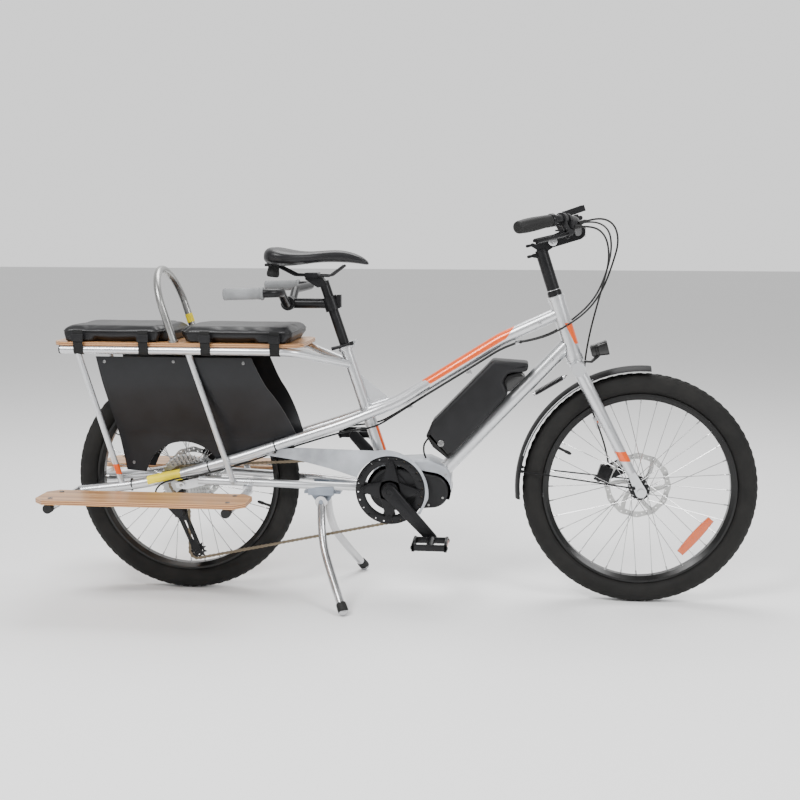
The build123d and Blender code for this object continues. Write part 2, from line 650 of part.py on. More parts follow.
# ---- battery ------------------------------------------------------------
with BuildPart() as battery:
    plate([(234, 658), (330, 652), (327, 629), (276, 624), (262, 601), (277, 568), (118, 387), (76, 420),
           (57, 450), (73, 489)], -45, 45, corner=9)
    rod((80, 0, 326.2), (440, 0, 709), DOWN_TUBE_RADIUS + 0.2, mode=Mode.SUBTRACT)
save(battery, "battery")

# ---- fork and what it carries -------------------------------------------
crown = HEAD_BOTTOM - head_axis * CROWN_DROP
LEG_Y = 60.0
LEG_END = (604.0, 366.0)
LEG_STRAIGHT = 60.0
LEG_RADIUS = 17.0
LEG_TIP_RADIUS = 12.5
with BuildPart() as fork_crown:
    axle((crown.X, crown.Z), 18.5, -78, 78)
    rod(crown, HEAD_BOTTOM - head_axis * 0.3, 20)
    rod(crown, HEAD_TOP + head_axis * 112, STEERER_RADIUS)
save(fork_crown, "fork_crown")

with BuildPart() as fork_legs:
    for side in BOTH_SIDES:
        leg_top = Vector(crown.X, side * LEG_Y, crown.Z)
        leg_end = Vector(LEG_END[0], side * LEG_Y, LEG_END[1])
        taper_start = leg_top + (leg_end - leg_top).normalized() * LEG_STRAIGHT
        rod(leg_top, taper_start, LEG_RADIUS)
        rod(taper_start, leg_end, LEG_RADIUS, LEG_TIP_RADIUS)
        low, high = sorted((side * DROPOUT_INNER_FRONT, side * (DROPOUT_INNER_FRONT + 9)))
        link((LEG_END[0] - 3, LEG_END[1] + 6), 9, front_axle, 15, low, high)
        nut_low, nut_high = sorted((side * (DROPOUT_INNER_FRONT + 9), side * (DROPOUT_INNER_FRONT + 16)))
        axle(front_axle, 10, nut_low, nut_high)
    axle((crown.X, crown.Z), 18.5, -78, 78, mode=Mode.SUBTRACT)
save(fork_legs, "fork_legs")

FENDER_START = 86.3
FENDER_SWEEP = 99.6
FENDER_HALF_WIDTH = 32.5
with BuildPart() as front_fender:
    frame = Plane(origin=(FRONT_X, 0, AXLE_Z), x_dir=(0, 1, 0),
                  z_dir=(math.sin(math.radians(FENDER_START)), 0, -math.cos(math.radians(FENDER_START))))
    with BuildSketch(frame) as fender_section:
        with BuildLine():
            ThreePointArc((-FENDER_HALF_WIDTH, FENDER_RADIUS - 12), (0, FENDER_RADIUS),
                          (FENDER_HALF_WIDTH, FENDER_RADIUS - 12))
            Line((FENDER_HALF_WIDTH, FENDER_RADIUS - 12), (FENDER_HALF_WIDTH - 2, FENDER_RADIUS - 13))
            ThreePointArc((FENDER_HALF_WIDTH - 2, FENDER_RADIUS - 13), (0, FENDER_RADIUS - 2),
                          (2 - FENDER_HALF_WIDTH, FENDER_RADIUS - 13))
            Line((2 - FENDER_HALF_WIDTH, FENDER_RADIUS - 13), (-FENDER_HALF_WIDTH, FENDER_RADIUS - 12))
        make_face()
    revolve(fender_section.sketch, axis=Axis((FRONT_X, 0, AXLE_Z), (0, -1, 0)), revolution_arc=FENDER_SWEEP)
    towards_crown = Vector(crown.X - FRONT_X, 0, crown.Z - AXLE_Z).normalized()
    wheel_centre = Vector(FRONT_X, 0, AXLE_Z)
    rod(wheel_centre + towards_crown * (FENDER_RADIUS - 1.5), wheel_centre + towards_crown * 351, 5)
    for side in BOTH_SIDES:
        stay_low = polar(front_axle, FENDER_RADIUS - 13, 171.9)
        rod((stay_low[0], side * 32, stay_low[1]), (612, side * 63, 325), 2)
        rod((stay_low[0] - 6, side * 30, stay_low[1] + 1), (stay_low[0] + 6, side * 32.5, stay_low[1] - 1), 4)
        low, high = sorted((side * 59.1, side * 66))
        axle((612, 325), 4, low, high)
    axle((crown.X, crown.Z), 18.6, -78, 78, mode=Mode.SUBTRACT)
save(front_fender, "front_fender")


def caliper(wheel, y, radius, angle, tangent_half):
    """Brake caliper over the edge of a disc, open for the disc."""
    middle = polar(wheel, radius + 6, angle)
    frame = Plane(origin=(middle[0], y, middle[1]), z_dir=(0, 1, 0),
                  x_dir=(math.cos(math.radians(angle)), 0, math.sin(math.radians(angle))))
    with Locations(frame.location):
        Box(40, 2 * tangent_half, 24)
    axle(wheel, radius + 3, y - 1.8, y + 1.8, mode=Mode.SUBTRACT)


with BuildPart() as front_caliper:
    caliper(front_axle, FRONT_ROTOR_Y, FRONT_ROTOR_RADIUS, 162, 26)
    plate([(536, 362), (556, 326), (612, 352), (596, 392)], 41, 46, corner=4)
save(front_caliper, "front_caliper")

with BuildPart() as rear_caliper:
    caliper(rear_axle, REAR_ROTOR_Y, REAR_ROTOR_RADIUS, 52, 24)
    add(side_tubes.part, mode=Mode.SUBTRACT)
save(rear_caliper, "rear_caliper")

LAMP_REAR = (493.0, 0.0, 682.0)
LAMP_FRONT = (538.5, 0.0, 694.0)
with BuildPart() as headlight:
    rod(LAMP_REAR, LAMP_FRONT, 17, 22)
    plate([(476, 652), (498, 651), (513, 664), (520, 672), (513, 676), (494, 656), (476, 657)], -10, 10)
    axle((crown.X, crown.Z), 18.6, -30, 30, mode=Mode.SUBTRACT)
save(headlight, "headlight")

SPRING_LOW = (346, 0, 565)
SPRING_HIGH = (424, 0, 612)
with BuildPart() as damper_spring:
    rod(SPRING_LOW, SPRING_HIGH, 7.5)
    rod((341, 0, 568), (350, 0, 567.4), 2)
    rod((420, 0, 610), (436, 0, 620), 2)
save(damper_spring, "damper_spring")

# ---- stem and handlebar -------------------------------------------------
riser_top = HEAD_TOP + head_axis * 128
TILT_LEVER_AT = (334.0, 962.0)
HEIGHT_LEVER_AT = (337.0, 934.0)
with BuildPart() as stem_riser:
    rod(HEAD_TOP + head_axis * 1, riser_top, 17)
    rod(HEAD_TOP + head_axis * 1, HEAD_TOP + head_axis * 13, 19)
    plate([(345, 938), (368, 942), (396, 962), (388, 984), (366, 972), (344, 966)], -10, 10, corner=3)
    axle(STEM_PIVOT, 15, -10, 10)
    for low, high in ((-10, -7.2), (7.2, 10)):
        link((350, 955), 7, TILT_LEVER_AT, 5, low, high)
        link((352, 934), 7, HEIGHT_LEVER_AT, 5, low, high)
    for centre in (TILT_LEVER_AT, HEIGHT_LEVER_AT):
        axle(centre, 2, -10, 10)
    axle(STEM_PIVOT, 5, -20.5, 20.5)
    for low, high in ((-21, -17.3), (17.3, 21)):
        axle(STEM_PIVOT, 9.5, low, high)
    rod(HEAD_TOP, HEAD_TOP + head_axis * 118, STEERER_RADIUS + RUNNING_FIT, mode=Mode.SUBTRACT)
save(stem_riser, "stem_riser")


def clamp_lever(centre, reach):
    """Small cam lever on a cross pin."""
    axle(centre, 5, -7, 7)
    link(centre, 3, (centre[0] - reach, centre[1] - 3), 4, -6, 6)
    axle(centre, 2 + RUNNING_FIT, -12, 12, mode=Mode.SUBTRACT)


with BuildPart() as tilt_lever:
    clamp_lever(TILT_LEVER_AT, 14)
save(tilt_lever, "tilt_lever")

with BuildPart() as height_lever:
    clamp_lever(HEIGHT_LEVER_AT, 13)
save(height_lever, "height_lever")

with BuildPart() as stem_head:
    link(STEM_PIVOT, 15.5, BAR_CLAMP, 21, -17, 17)
    axle(BAR_CLAMP, 21, -26, 26)
    axle(STEM_PIVOT, 24, -10.2, 10.2, mode=Mode.SUBTRACT)
    plate([(330, 930), (386, 930), (405, 952), (392, 998), (330, 998)], -10.2, 10.2, mode=Mode.SUBTRACT)
    axle(STEM_PIVOT, 5 + RUNNING_FIT, -30, 30, mode=Mode.SUBTRACT)
    axle(BAR_CLAMP, BAR_RADIUS, -30, 30, mode=Mode.SUBTRACT)
save(stem_head, "stem_head")

# Right half of the bar, from the grip end to the clamp.
GRIP_END = (297.0, -300.0, 1007.0)
GRIP_START = (391.0, -225.0, 1028.0)
BAR_SHOULDER = (438.0, -128.0, 1026.0)
BAR_MIDDLE = (BAR_CLAMP[0], -46.0, BAR_CLAMP[1])
right_bar = [GRIP_END, GRIP_START, BAR_SHOULDER, BAR_MIDDLE]
left_bar = [(x, -y, z) for x, y, z in reversed(right_bar)]
BAR_BENDS = [44, 55, 45]
with BuildPart() as handlebar:
    bent_tube(right_bar + left_bar, BAR_BENDS + BAR_BENDS[::-1], BAR_RADIUS)
save(handlebar, "handlebar")


def on_side(point, side):
    """The point for the right side (-1), or its mirror on the left (1)."""
    return Vector(point[0], -side * point[1], point[2])


GRIP_RADIUS = 17.0
GRIP_LENGTH = 110.0
with BuildPart() as bar_grips:
    for side in BOTH_SIDES:
        tip = on_side(GRIP_END, side)
        inner = along(tip, on_side(GRIP_START, side), GRIP_LENGTH)
        outer = along(tip, inner, -4)
        rod(outer, inner, GRIP_RADIUS)
        rod(tip, inner, BAR_RADIUS, mode=Mode.SUBTRACT)
save(bar_grips, "bar_grips")

PERCH_STATION = 26.0
SHIFTER_STATION = 56.0
LEVER_OFFSET = 42.0
LEVER_LENGTH = 104.0


def lever_frame(side):
    """Grip direction, offset direction and hinge axis of one brake lever."""
    grip = (on_side(GRIP_END, side) - on_side(GRIP_START, side)).normalized()
    outward = Vector(0.31, side * 0.39, -0.866)
    offset = (outward - grip * outward.dot(grip)).normalized()
    return grip, offset, grip.cross(offset).normalized()


def lever_pivot(side):
    """Centre of the brake lever's hinge pin."""
    offset = lever_frame(side)[1]
    perch = along(on_side(GRIP_START, side), on_side(BAR_SHOULDER, side), PERCH_STATION)
    return perch + offset * LEVER_OFFSET


with BuildPart() as controls:
    for side in BOTH_SIDES:
        start, shoulder = on_side(GRIP_START, side), on_side(BAR_SHOULDER, side)
        _, offset, hinge = lever_frame(side)
        pivot = lever_pivot(side)
        perch = along(start, shoulder, PERCH_STATION)
        rod(along(start, shoulder, PERCH_STATION - 8), along(start, shoulder, PERCH_STATION + 8), 16)
        rod(perch + offset * 12, perch + offset * (LEVER_OFFSET - 8), 8)
        rod(pivot - hinge * 11, pivot + hinge * 11, 8)
        rod(pivot - hinge * 6.2, pivot + hinge * 6.2, 14, mode=Mode.SUBTRACT)
        rod(pivot - hinge * 8, pivot + hinge * 8, 2.5)
    for side in BOTH_SIDES:
        start, shoulder = on_side(GRIP_START, side), on_side(BAR_SHOULDER, side)
        rod(along(start, shoulder, SHIFTER_STATION - 7), along(start, shoulder, SHIFTER_STATION + 7), 15)
    shifter = along(GRIP_START, BAR_SHOULDER, SHIFTER_STATION)
    shifter_post = (shifter.X + 12, shifter.Y - 4)
    with Locations((shifter_post[0], shifter_post[1], shifter.Z - 12)):
        Cylinder(15, 16)
    with Locations((shifter_post[0], shifter_post[1], shifter.Z - 26)):
        Cylinder(4, 14)
    for side in BOTH_SIDES:
        start, shoulder = on_side(GRIP_START, side), on_side(BAR_SHOULDER, side)
        rod(along(start, shoulder, 0), shoulder, BAR_RADIUS, mode=Mode.SUBTRACT)
    with Locations(Plane(origin=(440, 0, 1050), x_dir=(1, 0, 0.35), z_dir=(-0.35, 0, 1)).location):
        Box(58, 62, 16)
    axle((456, 1033), 6, -40, -28)
    axle((456, 1033), 6, 28, 40)
    rod((446, -34, 1042), (450, -34, 1008), 5)
    rod((446, 34, 1042), (450, 34, 1008), 5)
    axle(BAR_CLAMP, BAR_RADIUS, -46, 46, mode=Mode.SUBTRACT)
save(controls, "controls")


def brake_lever(side):
    """Lever blade beside the grip, on its hinge pin."""
    grip, offset, hinge = lever_frame(side)
    pivot = lever_pivot(side)
    rod(pivot - hinge * 6, pivot + hinge * 6, 6)
    for drift in (-2, 2):
        rod(pivot + hinge * drift, pivot + grip * LEVER_LENGTH + hinge * drift + offset * 2, 4, 4.5)
    rod(pivot - hinge * 9, pivot + hinge * 9, 2.5 + RUNNING_FIT, mode=Mode.SUBTRACT)


with BuildPart() as brake_lever_right:
    brake_lever(-1)
save(brake_lever_right, "brake_lever_right")

with BuildPart() as brake_lever_left:
    brake_lever(1)
save(brake_lever_left, "brake_lever_left")

with BuildPart() as shift_lever:
    with BuildSketch(Plane.XY.offset(shifter.Z - 29)) as paddle:
        with Locations(shifter_post):
            Circle(9)
        with Locations((shifter_post[0] - 34, shifter_post[1] + 4)):
            Circle(6)
        make_hull()
        with Locations(shifter_post):
            Circle(4 + RUNNING_FIT, mode=Mode.SUBTRACT)
    extrude(amount=4)
save(shift_lever, "shift_lever")

# ---- seat post, saddle, passenger's bar ---------------------------------
post_top = BB + seat_axis * 590
with BuildPart() as seatpost:
    rod(BB + seat_axis * 290, post_top, SEATPOST_RADIUS)
    plate([(-240, 846), (-212, 852), (-226, 872), (-240, 884), (-272, 884), (-274, 868)], -15, 15, corner=3)
    for side in BOTH_SIDES:
        route = [(-352, side * 22, 906), (-300, side * 22, 880), (-205, side * 22, 878), (-168, side * 16, 906)]
        bent_tube(route, [18, 18], 3.5)
    with Locations((-256, 0, 880)):
        Box(34, 56, 12)
save(seatpost, "seatpost")

SADDLE_PROFILE = [(-386, 943), (-369, 957), (-290, 943), (-181, 948), (-118, 930), (-102, 914), (-112, 908),
                  (-160, 910.5), (-300, 910.5), (-376, 910.5)]
with BuildPart() as saddle:
    plate(SADDLE_PROFILE, -90, 90)
    with BuildSketch(Plane.XY.offset(890)) as planform:
        with BuildLine():
            Polyline((-384, -30), (-384, 30), (-350, 82), (-300, 80), (-225, 36), (-170, 24), (-108, 17),
                     (-102, 8), (-102, -8), (-108, -17), (-170, -24), (-225, -36), (-300, -80),
                     (-350, -82), close=True)
        make_face()
    extrude(amount=80, mode=Mode.INTERSECT)
    with Locations((-364, 0, 891)):
        Box(30, 34, 38.8)
save(saddle, "saddle")

STOKER_Z = 803.0
STOKER_CLAMP_X = -321.0
post_at_stoker = BB + seat_axis * ((STOKER_Z - BB.Z) / seat_axis.Z)
with BuildPart() as stoker_stem:
    rod(post_at_stoker - seat_axis * 19, post_at_stoker + seat_axis * 19, 20)
    with Locations((post_at_stoker.X + 22, 0, STOKER_Z + 7)):
        Box(12, 18, 34)
    rod((post_at_stoker.X - 10, 0, STOKER_Z), (STOKER_CLAMP_X, 0, STOKER_Z), 13.5)
    axle((STOKER_CLAMP_X, STOKER_Z), 19, -21, 21)
    rod(BB, post_top, SEATPOST_RADIUS, mode=Mode.SUBTRACT)
    axle((STOKER_CLAMP_X, STOKER_Z), BAR_RADIUS, -30, 30, mode=Mode.SUBTRACT)
save(stoker_stem, "stoker_stem")

STOKER_GRIP_REAR = (-436.0, -250.0, 838.0)
STOKER_CORNER = (-292.0, -250.0, 843.0)
stoker_right = [STOKER_GRIP_REAR, STOKER_CORNER, (-322, -100, 836), (STOKER_CLAMP_X, -42, STOKER_Z)]
stoker_left = [(x, -y, z) for x, y, z in reversed(stoker_right)]
STOKER_BENDS = [36, 34, 30]
with BuildPart() as stoker_bar:
    bent_tube(stoker_right + stoker_left, STOKER_BENDS + STOKER_BENDS[::-1], BAR_RADIUS)
save(stoker_bar, "stoker_bar")

with BuildPart() as stoker_grips:
    for side in BOTH_SIDES:
        tip, corner = on_side(STOKER_GRIP_REAR, side), on_side(STOKER_CORNER, side)
        rod(along(tip, corner, -4), along(tip, corner, 99), 15.5)
        rod(tip, along(tip, corner, 110), BAR_RADIUS, mode=Mode.SUBTRACT)
save(stoker_grips, "stoker_grips")

with BuildPart() as seat_lever:
    lever_eye = Vector(-146, -25.5, 698)
    rod(lever_eye - seat_axis * 5, lever_eye + seat_axis * 5, 5)
    rod(lever_eye, (-168, -30, 691), 3.5)
    rod((-168, -30, 691), (-200, -27, 682), 3.5, 5)
save(seat_lever, "seat_lever")

# ---- cables and hoses ---------------------------------------------------
CABLE_RADIUS = 2.5
# Under the top tube, under the right side tube, then round to the derailleur.
GEAR_CABLE = [(298, -9, 703), (252, -9, 684), (150, -9, 618), (50, -9, 555), (-22, -18, 508),
              (-80, -38, 472), (-172, -53, 459), (-300, -54, 418), (-433, -60, 371), (-480, -74, 357),
              (-545, -90, 342), (-612, -100, 332), (-662, -99, 316), (-684, -90, 286), (-659.5, -70, 258)]
REAR_BRAKE_HOSE = [(298, 9, 703), (252, 9, 684), (150, 9, 618), (50, 9, 555), (-22, 18, 508),
                   (-80, 38, 472), (-172, 58, 459), (-300, 63, 418), (-433, 66, 371), (-484, 56, 360),
                   (-534, 51, 364)]
BATTERY_LEAD = [(61, -20, 440), (50, -20, 424), (50, -20, 402), (56, -20, 387)]
with BuildPart() as frame_cables:
    for route in (GEAR_CABLE, REAR_BRAKE_HOSE, BATTERY_LEAD):
        bent_tube(route, gentle(route, least=5), CABLE_RADIUS)
save(frame_cables, "frame_cables")

# Free loops ahead of the head tube: gear cable, rear brake hose, front brake hose.
GEAR_LOOP = [(444, -172, 1017), (490, -140, 1034), (538, -92, 1022), (556, -56, 975), (542, -41, 915),
             (520, -36, 850), (485, -34, 795), (430, -31, 752), (360, -20, 714), (300, -9, 703.8)]
REAR_BRAKE_LOOP = [(432, 190, 1013), (488, 150, 1030), (538, 92, 1012), (547, 50, 955), (530, 32, 882),
                   (500, 29, 815), (440, 31, 758), (365, 20, 714), (300, 9, 703.8)]
FRONT_BRAKE_LOOP = [(432, -192, 1008), (480, -150, 1014), (520, -98, 988), (533, -52, 930), (523, -10, 868),
                    (508, 28, 800), (494, 62, 730), (484, 88, 655), (481, 84, 592), (500, 70, 524),
                    (529, 62, 455), (545, 50, 405), (551, 44, 372)]
with BuildPart() as bar_cables:
    for route in (GEAR_LOOP, REAR_BRAKE_LOOP, FRONT_BRAKE_LOOP):
        bent_tube(route, gentle(route), CABLE_RADIUS)
    add(controls.part, mode=Mode.SUBTRACT)
save(bar_cables, "bar_cables")
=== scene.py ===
import math
import bpy
import bmesh
from mathutils import Matrix, Vector
from mathutils.bvhtree import BVHTree


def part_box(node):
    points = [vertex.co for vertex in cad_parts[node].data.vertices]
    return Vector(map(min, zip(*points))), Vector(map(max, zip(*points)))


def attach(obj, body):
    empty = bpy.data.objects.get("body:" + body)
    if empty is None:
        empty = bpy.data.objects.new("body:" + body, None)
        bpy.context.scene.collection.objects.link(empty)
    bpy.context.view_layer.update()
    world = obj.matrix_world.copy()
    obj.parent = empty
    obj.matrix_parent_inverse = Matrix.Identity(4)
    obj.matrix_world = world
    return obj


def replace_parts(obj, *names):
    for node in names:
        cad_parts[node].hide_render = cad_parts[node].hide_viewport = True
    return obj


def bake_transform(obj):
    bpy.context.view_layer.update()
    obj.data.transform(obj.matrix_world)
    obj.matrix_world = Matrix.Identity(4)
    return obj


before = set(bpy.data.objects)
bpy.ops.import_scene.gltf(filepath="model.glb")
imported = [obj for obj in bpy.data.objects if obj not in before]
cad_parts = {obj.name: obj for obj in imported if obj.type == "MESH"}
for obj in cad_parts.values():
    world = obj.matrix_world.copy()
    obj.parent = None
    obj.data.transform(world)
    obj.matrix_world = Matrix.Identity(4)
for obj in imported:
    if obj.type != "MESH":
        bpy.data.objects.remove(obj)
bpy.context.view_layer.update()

# Longtail cargo bicycle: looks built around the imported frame. Metres, +X forward, +Y left, +Z up.
BOTH_SIDES = (-1, 1)


def hand(side):
    """Name ending of a side: -1 is right, 1 is left."""
    return "_right" if side < 0 else "_left"


def centred(place):
    """Point of the middle plane from its (x, z)."""
    return (place[0], 0, place[1])


# ---- shader kit ---------------------------------------------------------
class Wire:
    """A shader socket that can be used in sums."""

    def __init__(self, finish, socket):
        self.finish = finish
        self.socket = socket

    def sum(self, operation, a, b=0.0):
        return self.finish.node("ShaderNodeMath", {"operation": operation}, {0: a, 1: b})

    def __add__(self, other):
        return self.sum("ADD", self, other)

    def __radd__(self, other):
        return self.sum("ADD", other, self)

    def __sub__(self, other):
        return self.sum("SUBTRACT", self, other)

    def __rsub__(self, other):
        return self.sum("SUBTRACT", other, self)

    def __mul__(self, other):
        return self.sum("MULTIPLY", self, other)

    def __rmul__(self, other):
        return self.sum("MULTIPLY", other, self)

    def __truediv__(self, other):
        return self.sum("DIVIDE", self, other)

    def __gt__(self, other):
        return self.sum("GREATER_THAN", self, other)

    def __lt__(self, other):
        return self.sum("LESS_THAN", self, other)

    def __abs__(self):
        return self.sum("ABSOLUTE", self)


class Finish:
    """One material: its nodes are added by the methods below."""

    def __init__(self, name, **constants):
        self.material = bpy.data.materials.new(name)
        self.material.use_nodes = True
        self.tree = self.material.node_tree
        self.shader = self.tree.nodes["Principled BSDF"]
        self.fix(**constants)

    def fix(self, **constants):
        """Set values that are the same all over, by socket name with _ for a space."""
        for name, value in constants.items():
            socket = self.shader.inputs[name.replace("_", " ")]
            socket.default_value = (*value, 1) if isinstance(value, tuple) else value

    def node(self, kind, settings=None, values=None, output=0):
        """Add a node, its settings first, then the values or wires of its sockets."""
        made = self.tree.nodes.new(kind)
        for name, value in (settings or {}).items():
            if name == "stops":
                self.set_stops(made.color_ramp, value)
            else:
                setattr(made, name, value)
        for name, value in (values or {}).items():
            socket = made.inputs[name]
            if isinstance(value, Wire):
                self.tree.links.new(value.socket, socket)
            elif isinstance(value, tuple) and len(socket.default_value) == 4:
                socket.default_value = (*value, 1)
            else:
                socket.default_value = value
        return Wire(self, made.outputs[output])

    @staticmethod
    def set_stops(ramp, stops):
        """Place the stops of a colour ramp: (position, colour)."""
        while len(ramp.elements) < len(stops):
            ramp.elements.new(1.0)
        for element, (position, colour) in zip(ramp.elements, stops):
            element.position = position
            element.color = (*colour, 1) if isinstance(colour, tuple) else (colour, colour, colour, 1)

    def place(self, stretch=(1, 1, 1), turn=(0, 0, 0)):
        """Object coordinates, stretched and turned."""
        position = self.node("ShaderNodeTexCoord", output="Object")
        return self.node("ShaderNodeMapping", None, {"Vector": position, "Scale": stretch, "Rotation": turn})

    def axis(self, index):
        """One of the x, y, z object coordinates."""
        position = self.node("ShaderNodeTexCoord", output="Object")
        return self.node("ShaderNodeSeparateXYZ", None, {0: position}, output=index)

    def noise(self, scale, detail=3.0, stretch=(1, 1, 1)):
        return self.node("ShaderNodeTexNoise", None,
                         {"Vector": self.place(stretch), "Scale": scale, "Detail": detail})

    def cells(self, scale, feature="F1", stretch=(1, 1, 1)):
        return self.node("ShaderNodeTexVoronoi", {"feature": feature},
                         {"Vector": self.place(stretch), "Scale": scale})

    def ramp(self, value, *stops):
        return self.node("ShaderNodeValToRGB", {"stops": stops}, {0: value})

    def mix(self, factor, a, b):
        """Colour a where the factor is 0 and b where it is 1."""
        return self.node("ShaderNodeMix", {"data_type": "RGBA"}, {0: factor, 6: a, 7: b}, output=2)

    def feed(self, **wires):
        """Join varying values to the shader, by socket name with _ for a space."""
        for name, wire in wires.items():
            self.tree.links.new(wire.socket, self.shader.inputs[name.replace("_", " ")])

    def sum_of(self, operation, value):
        """One-value maths on a wire."""
        return self.node("ShaderNodeMath", {"operation": operation}, {0: value})

    def bump(self, height, strength, distance):
        normal = self.node("ShaderNodeBump", None,
                           {"Strength": strength, "Distance": distance, "Height": height})
        self.feed(Normal=normal)


# ---- finishes -----------------------------------------------------------
ORANGE = (0.80, 0.095, 0.0)


def silver_paint(name, band=None):
    """Pearl silver enamel under clear coat; band gives the orange areas from the finish."""
    made = Finish(name, Metallic=0.82, Coat_Weight=0.6, Coat_Roughness=0.08)
    flakes = made.cells(2600)
    clouds = made.noise(9)
    silver = made.ramp(clouds * 0.7 + flakes * 0.3, (0.25, (0.55, 0.56, 0.575)), (0.8, (0.72, 0.73, 0.745)))
    if band:
        silver = made.mix(band(made), silver, ORANGE)
        made.feed(Metallic=0.82 - band(made) * 0.62)
    made.feed(Base_Color=silver, Roughness=made.ramp(clouds, (0.2, 0.24), (0.8, 0.34)))
    made.bump(made.noise(420), 0.04, 0.0002)
    return made.material


def moulded(name, colour, roughness, grain=900, depth=0.0002, coat=0.0, metallic=0.0):
    """Moulded or coated surface with a fine grain and a little wear in its sheen."""
    made = Finish(name, Coat_Weight=coat, Coat_Roughness=0.2, Metallic=metallic, Specular_IOR_Level=0.32)
    wear = made.noise(14, detail=6)
    darker = tuple(part * 0.7 for part in colour)
    lighter = tuple(part * 1.35 + 0.002 for part in colour)
    made.feed(Base_Color=made.ramp(wear, (0.3, darker), (0.75, lighter)),
              Roughness=made.ramp(wear, (0.2, roughness - 0.07), (0.8, roughness + 0.08)))
    made.bump(made.noise(grain, detail=2), 0.35, depth)
    return made.material


def brushed(name, colour, roughness, stretch=(1, 1, 40), metallic=1.0):
    """Bare or polished metal with fine lines and faint smudges."""
    made = Finish(name, Metallic=metallic)
    lines = made.noise(160, detail=4, stretch=stretch)
    smudges = made.noise(22)
    dull = tuple(part * 0.78 for part in colour)
    made.feed(Base_Color=made.ramp(smudges, (0.3, dull), (0.7, colour)),
              Roughness=made.ramp(lines * 0.6 + smudges * 0.4, (0.25, roughness - 0.08),
                                  (0.8, roughness + 0.1)))
    made.bump(lines, 0.12, 0.0001)
    return made.material


def leatherette(name, colour, roughness, scale=520):
    """Pebbled vinyl: small cells with soft creases."""
    made = Finish(name, Coat_Weight=0.05, Coat_Roughness=0.35, Specular_IOR_Level=0.35)
    pebbles = made.cells(scale, feature="SMOOTH_F1")
    sheen = made.noise(7, detail=4)
    lighter = tuple(part * 1.5 for part in colour)
    made.feed(Base_Color=made.ramp(sheen, (0.3, colour), (0.8, lighter)),
              Roughness=made.ramp(sheen * 0.6 + pebbles * 0.4, (0.2, roughness - 0.08),
                                  (0.85, roughness + 0.1)))
    made.bump(pebbles + made.noise(60, detail=5) * 0.4, 0.4, 0.0005)
    return made.material


def bamboo(name):
    """Bamboo plywood: strips along the deck, plies on its edges, clear varnish."""
    made = Finish(name, Coat_Weight=0.3, Coat_Roughness=0.25)
    strip_width, ply = 0.019, 0.0024
    across = made.axis(1) / strip_width
    strip = made.sum_of("FLOOR", across)
    tone = made.node("ShaderNodeTexWhiteNoise", {"noise_dimensions": "1D"}, {"W": strip})
    grain = made.noise(55, detail=8, stretch=(0.05, 1, 1))
    face = made.ramp(grain * 0.65 + tone * 0.35, (0.2, (0.33, 0.15, 0.055)), (0.5, (0.52, 0.27, 0.11)),
                     (0.85, (0.66, 0.39, 0.18)))
    joint = abs(made.sum_of("FRACT", across) - 0.5) > 0.478
    face = made.mix(joint * 0.55, face, (0.16, 0.07, 0.03))
    layers = made.sum_of("FRACT", made.axis(2) / ply / 2) > 0.5
    edge = made.mix(layers, (0.24, 0.10, 0.04), (0.58, 0.31, 0.13))
    normal = made.node("ShaderNodeNewGeometry", output="Normal")
    upright = made.node("ShaderNodeSeparateXYZ", None, {0: normal}, output=2)
    made.feed(Base_Color=made.mix(abs(upright) > 0.5, edge, face),
              Roughness=made.ramp(grain, (0.2, 0.36), (0.8, 0.52)))
    made.bump(grain * 0.5 - joint * 0.5, 0.25, 0.0006)
    return made.material


def radius_from(made, centre_x, centre_z):
    """Distance from an axle, from the object coordinates."""
    across, up = made.axis(0) - centre_x, made.axis(2) - centre_z
    return made.sum_of("SQRT", across * across + up * up)


# ---- shapes -------------------------------------------------------------
def finished(made, finish, body, smooth_angle=40):
    """Give a piece its material, slot, shading and the body that it rides on."""
    made.data.materials.clear()
    made.data.materials.append(finish)
    made.data.shade_smooth()
    sharp = math.radians(smooth_angle)
    work = bmesh.new()
    work.from_mesh(made.data)
    for edge in work.edges:
        edge.smooth = not (len(edge.link_faces) == 2 and edge.calc_face_angle(0) > sharp)
    work.to_mesh(made.data)
    work.free()
    if body:
        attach(made, body)
    return made


def mesh_object(name, vertices, faces):
    """A new mesh object with outward faces."""
    mesh = bpy.data.meshes.new(name)
    mesh.from_pydata([tuple(v) for v in vertices], [], faces)
    work = bmesh.new()
    work.from_mesh(mesh)
    bmesh.ops.remove_doubles(work, verts=work.verts, dist=1e-6)
    bmesh.ops.recalc_face_normals(work, faces=work.faces)
    work.to_mesh(mesh)
    work.free()
    made = bpy.data.objects.new(name, mesh)
    bpy.context.scene.collection.objects.link(made)
    return made


def as_mesh(made):
    """The evaluated object as a plain mesh under the same name."""
    name = made.name
    bpy.context.view_layer.update()
    shaped = made.evaluated_get(bpy.context.evaluated_depsgraph_get())
    mesh = bpy.data.meshes.new_from_object(shaped)
    bpy.data.objects.remove(made)
    plain = bpy.data.objects.new(name, mesh)
    bpy.context.scene.collection.objects.link(plain)
    return plain


def joined(name, *pieces):
    """Several mesh objects as one."""
    work = bmesh.new()
    for made in pieces:
        work.from_mesh(made.data)
        bpy.data.objects.remove(made)
    mesh = bpy.data.meshes.new(name)
    work.to_mesh(mesh)
    work.free()
    plain = bpy.data.objects.new(name, mesh)
    bpy.context.scene.collection.objects.link(plain)
    return plain


def frame_along(axis):
    """Two directions square to an axis."""
    axis = Vector(axis).normalized()
    side = axis.cross(Vector((0, 0, 1)))
    if side.length < 0.1:
        side = axis.cross(Vector((1, 0, 0)))
    side.normalize()
    return side, axis.cross(side).normalized()


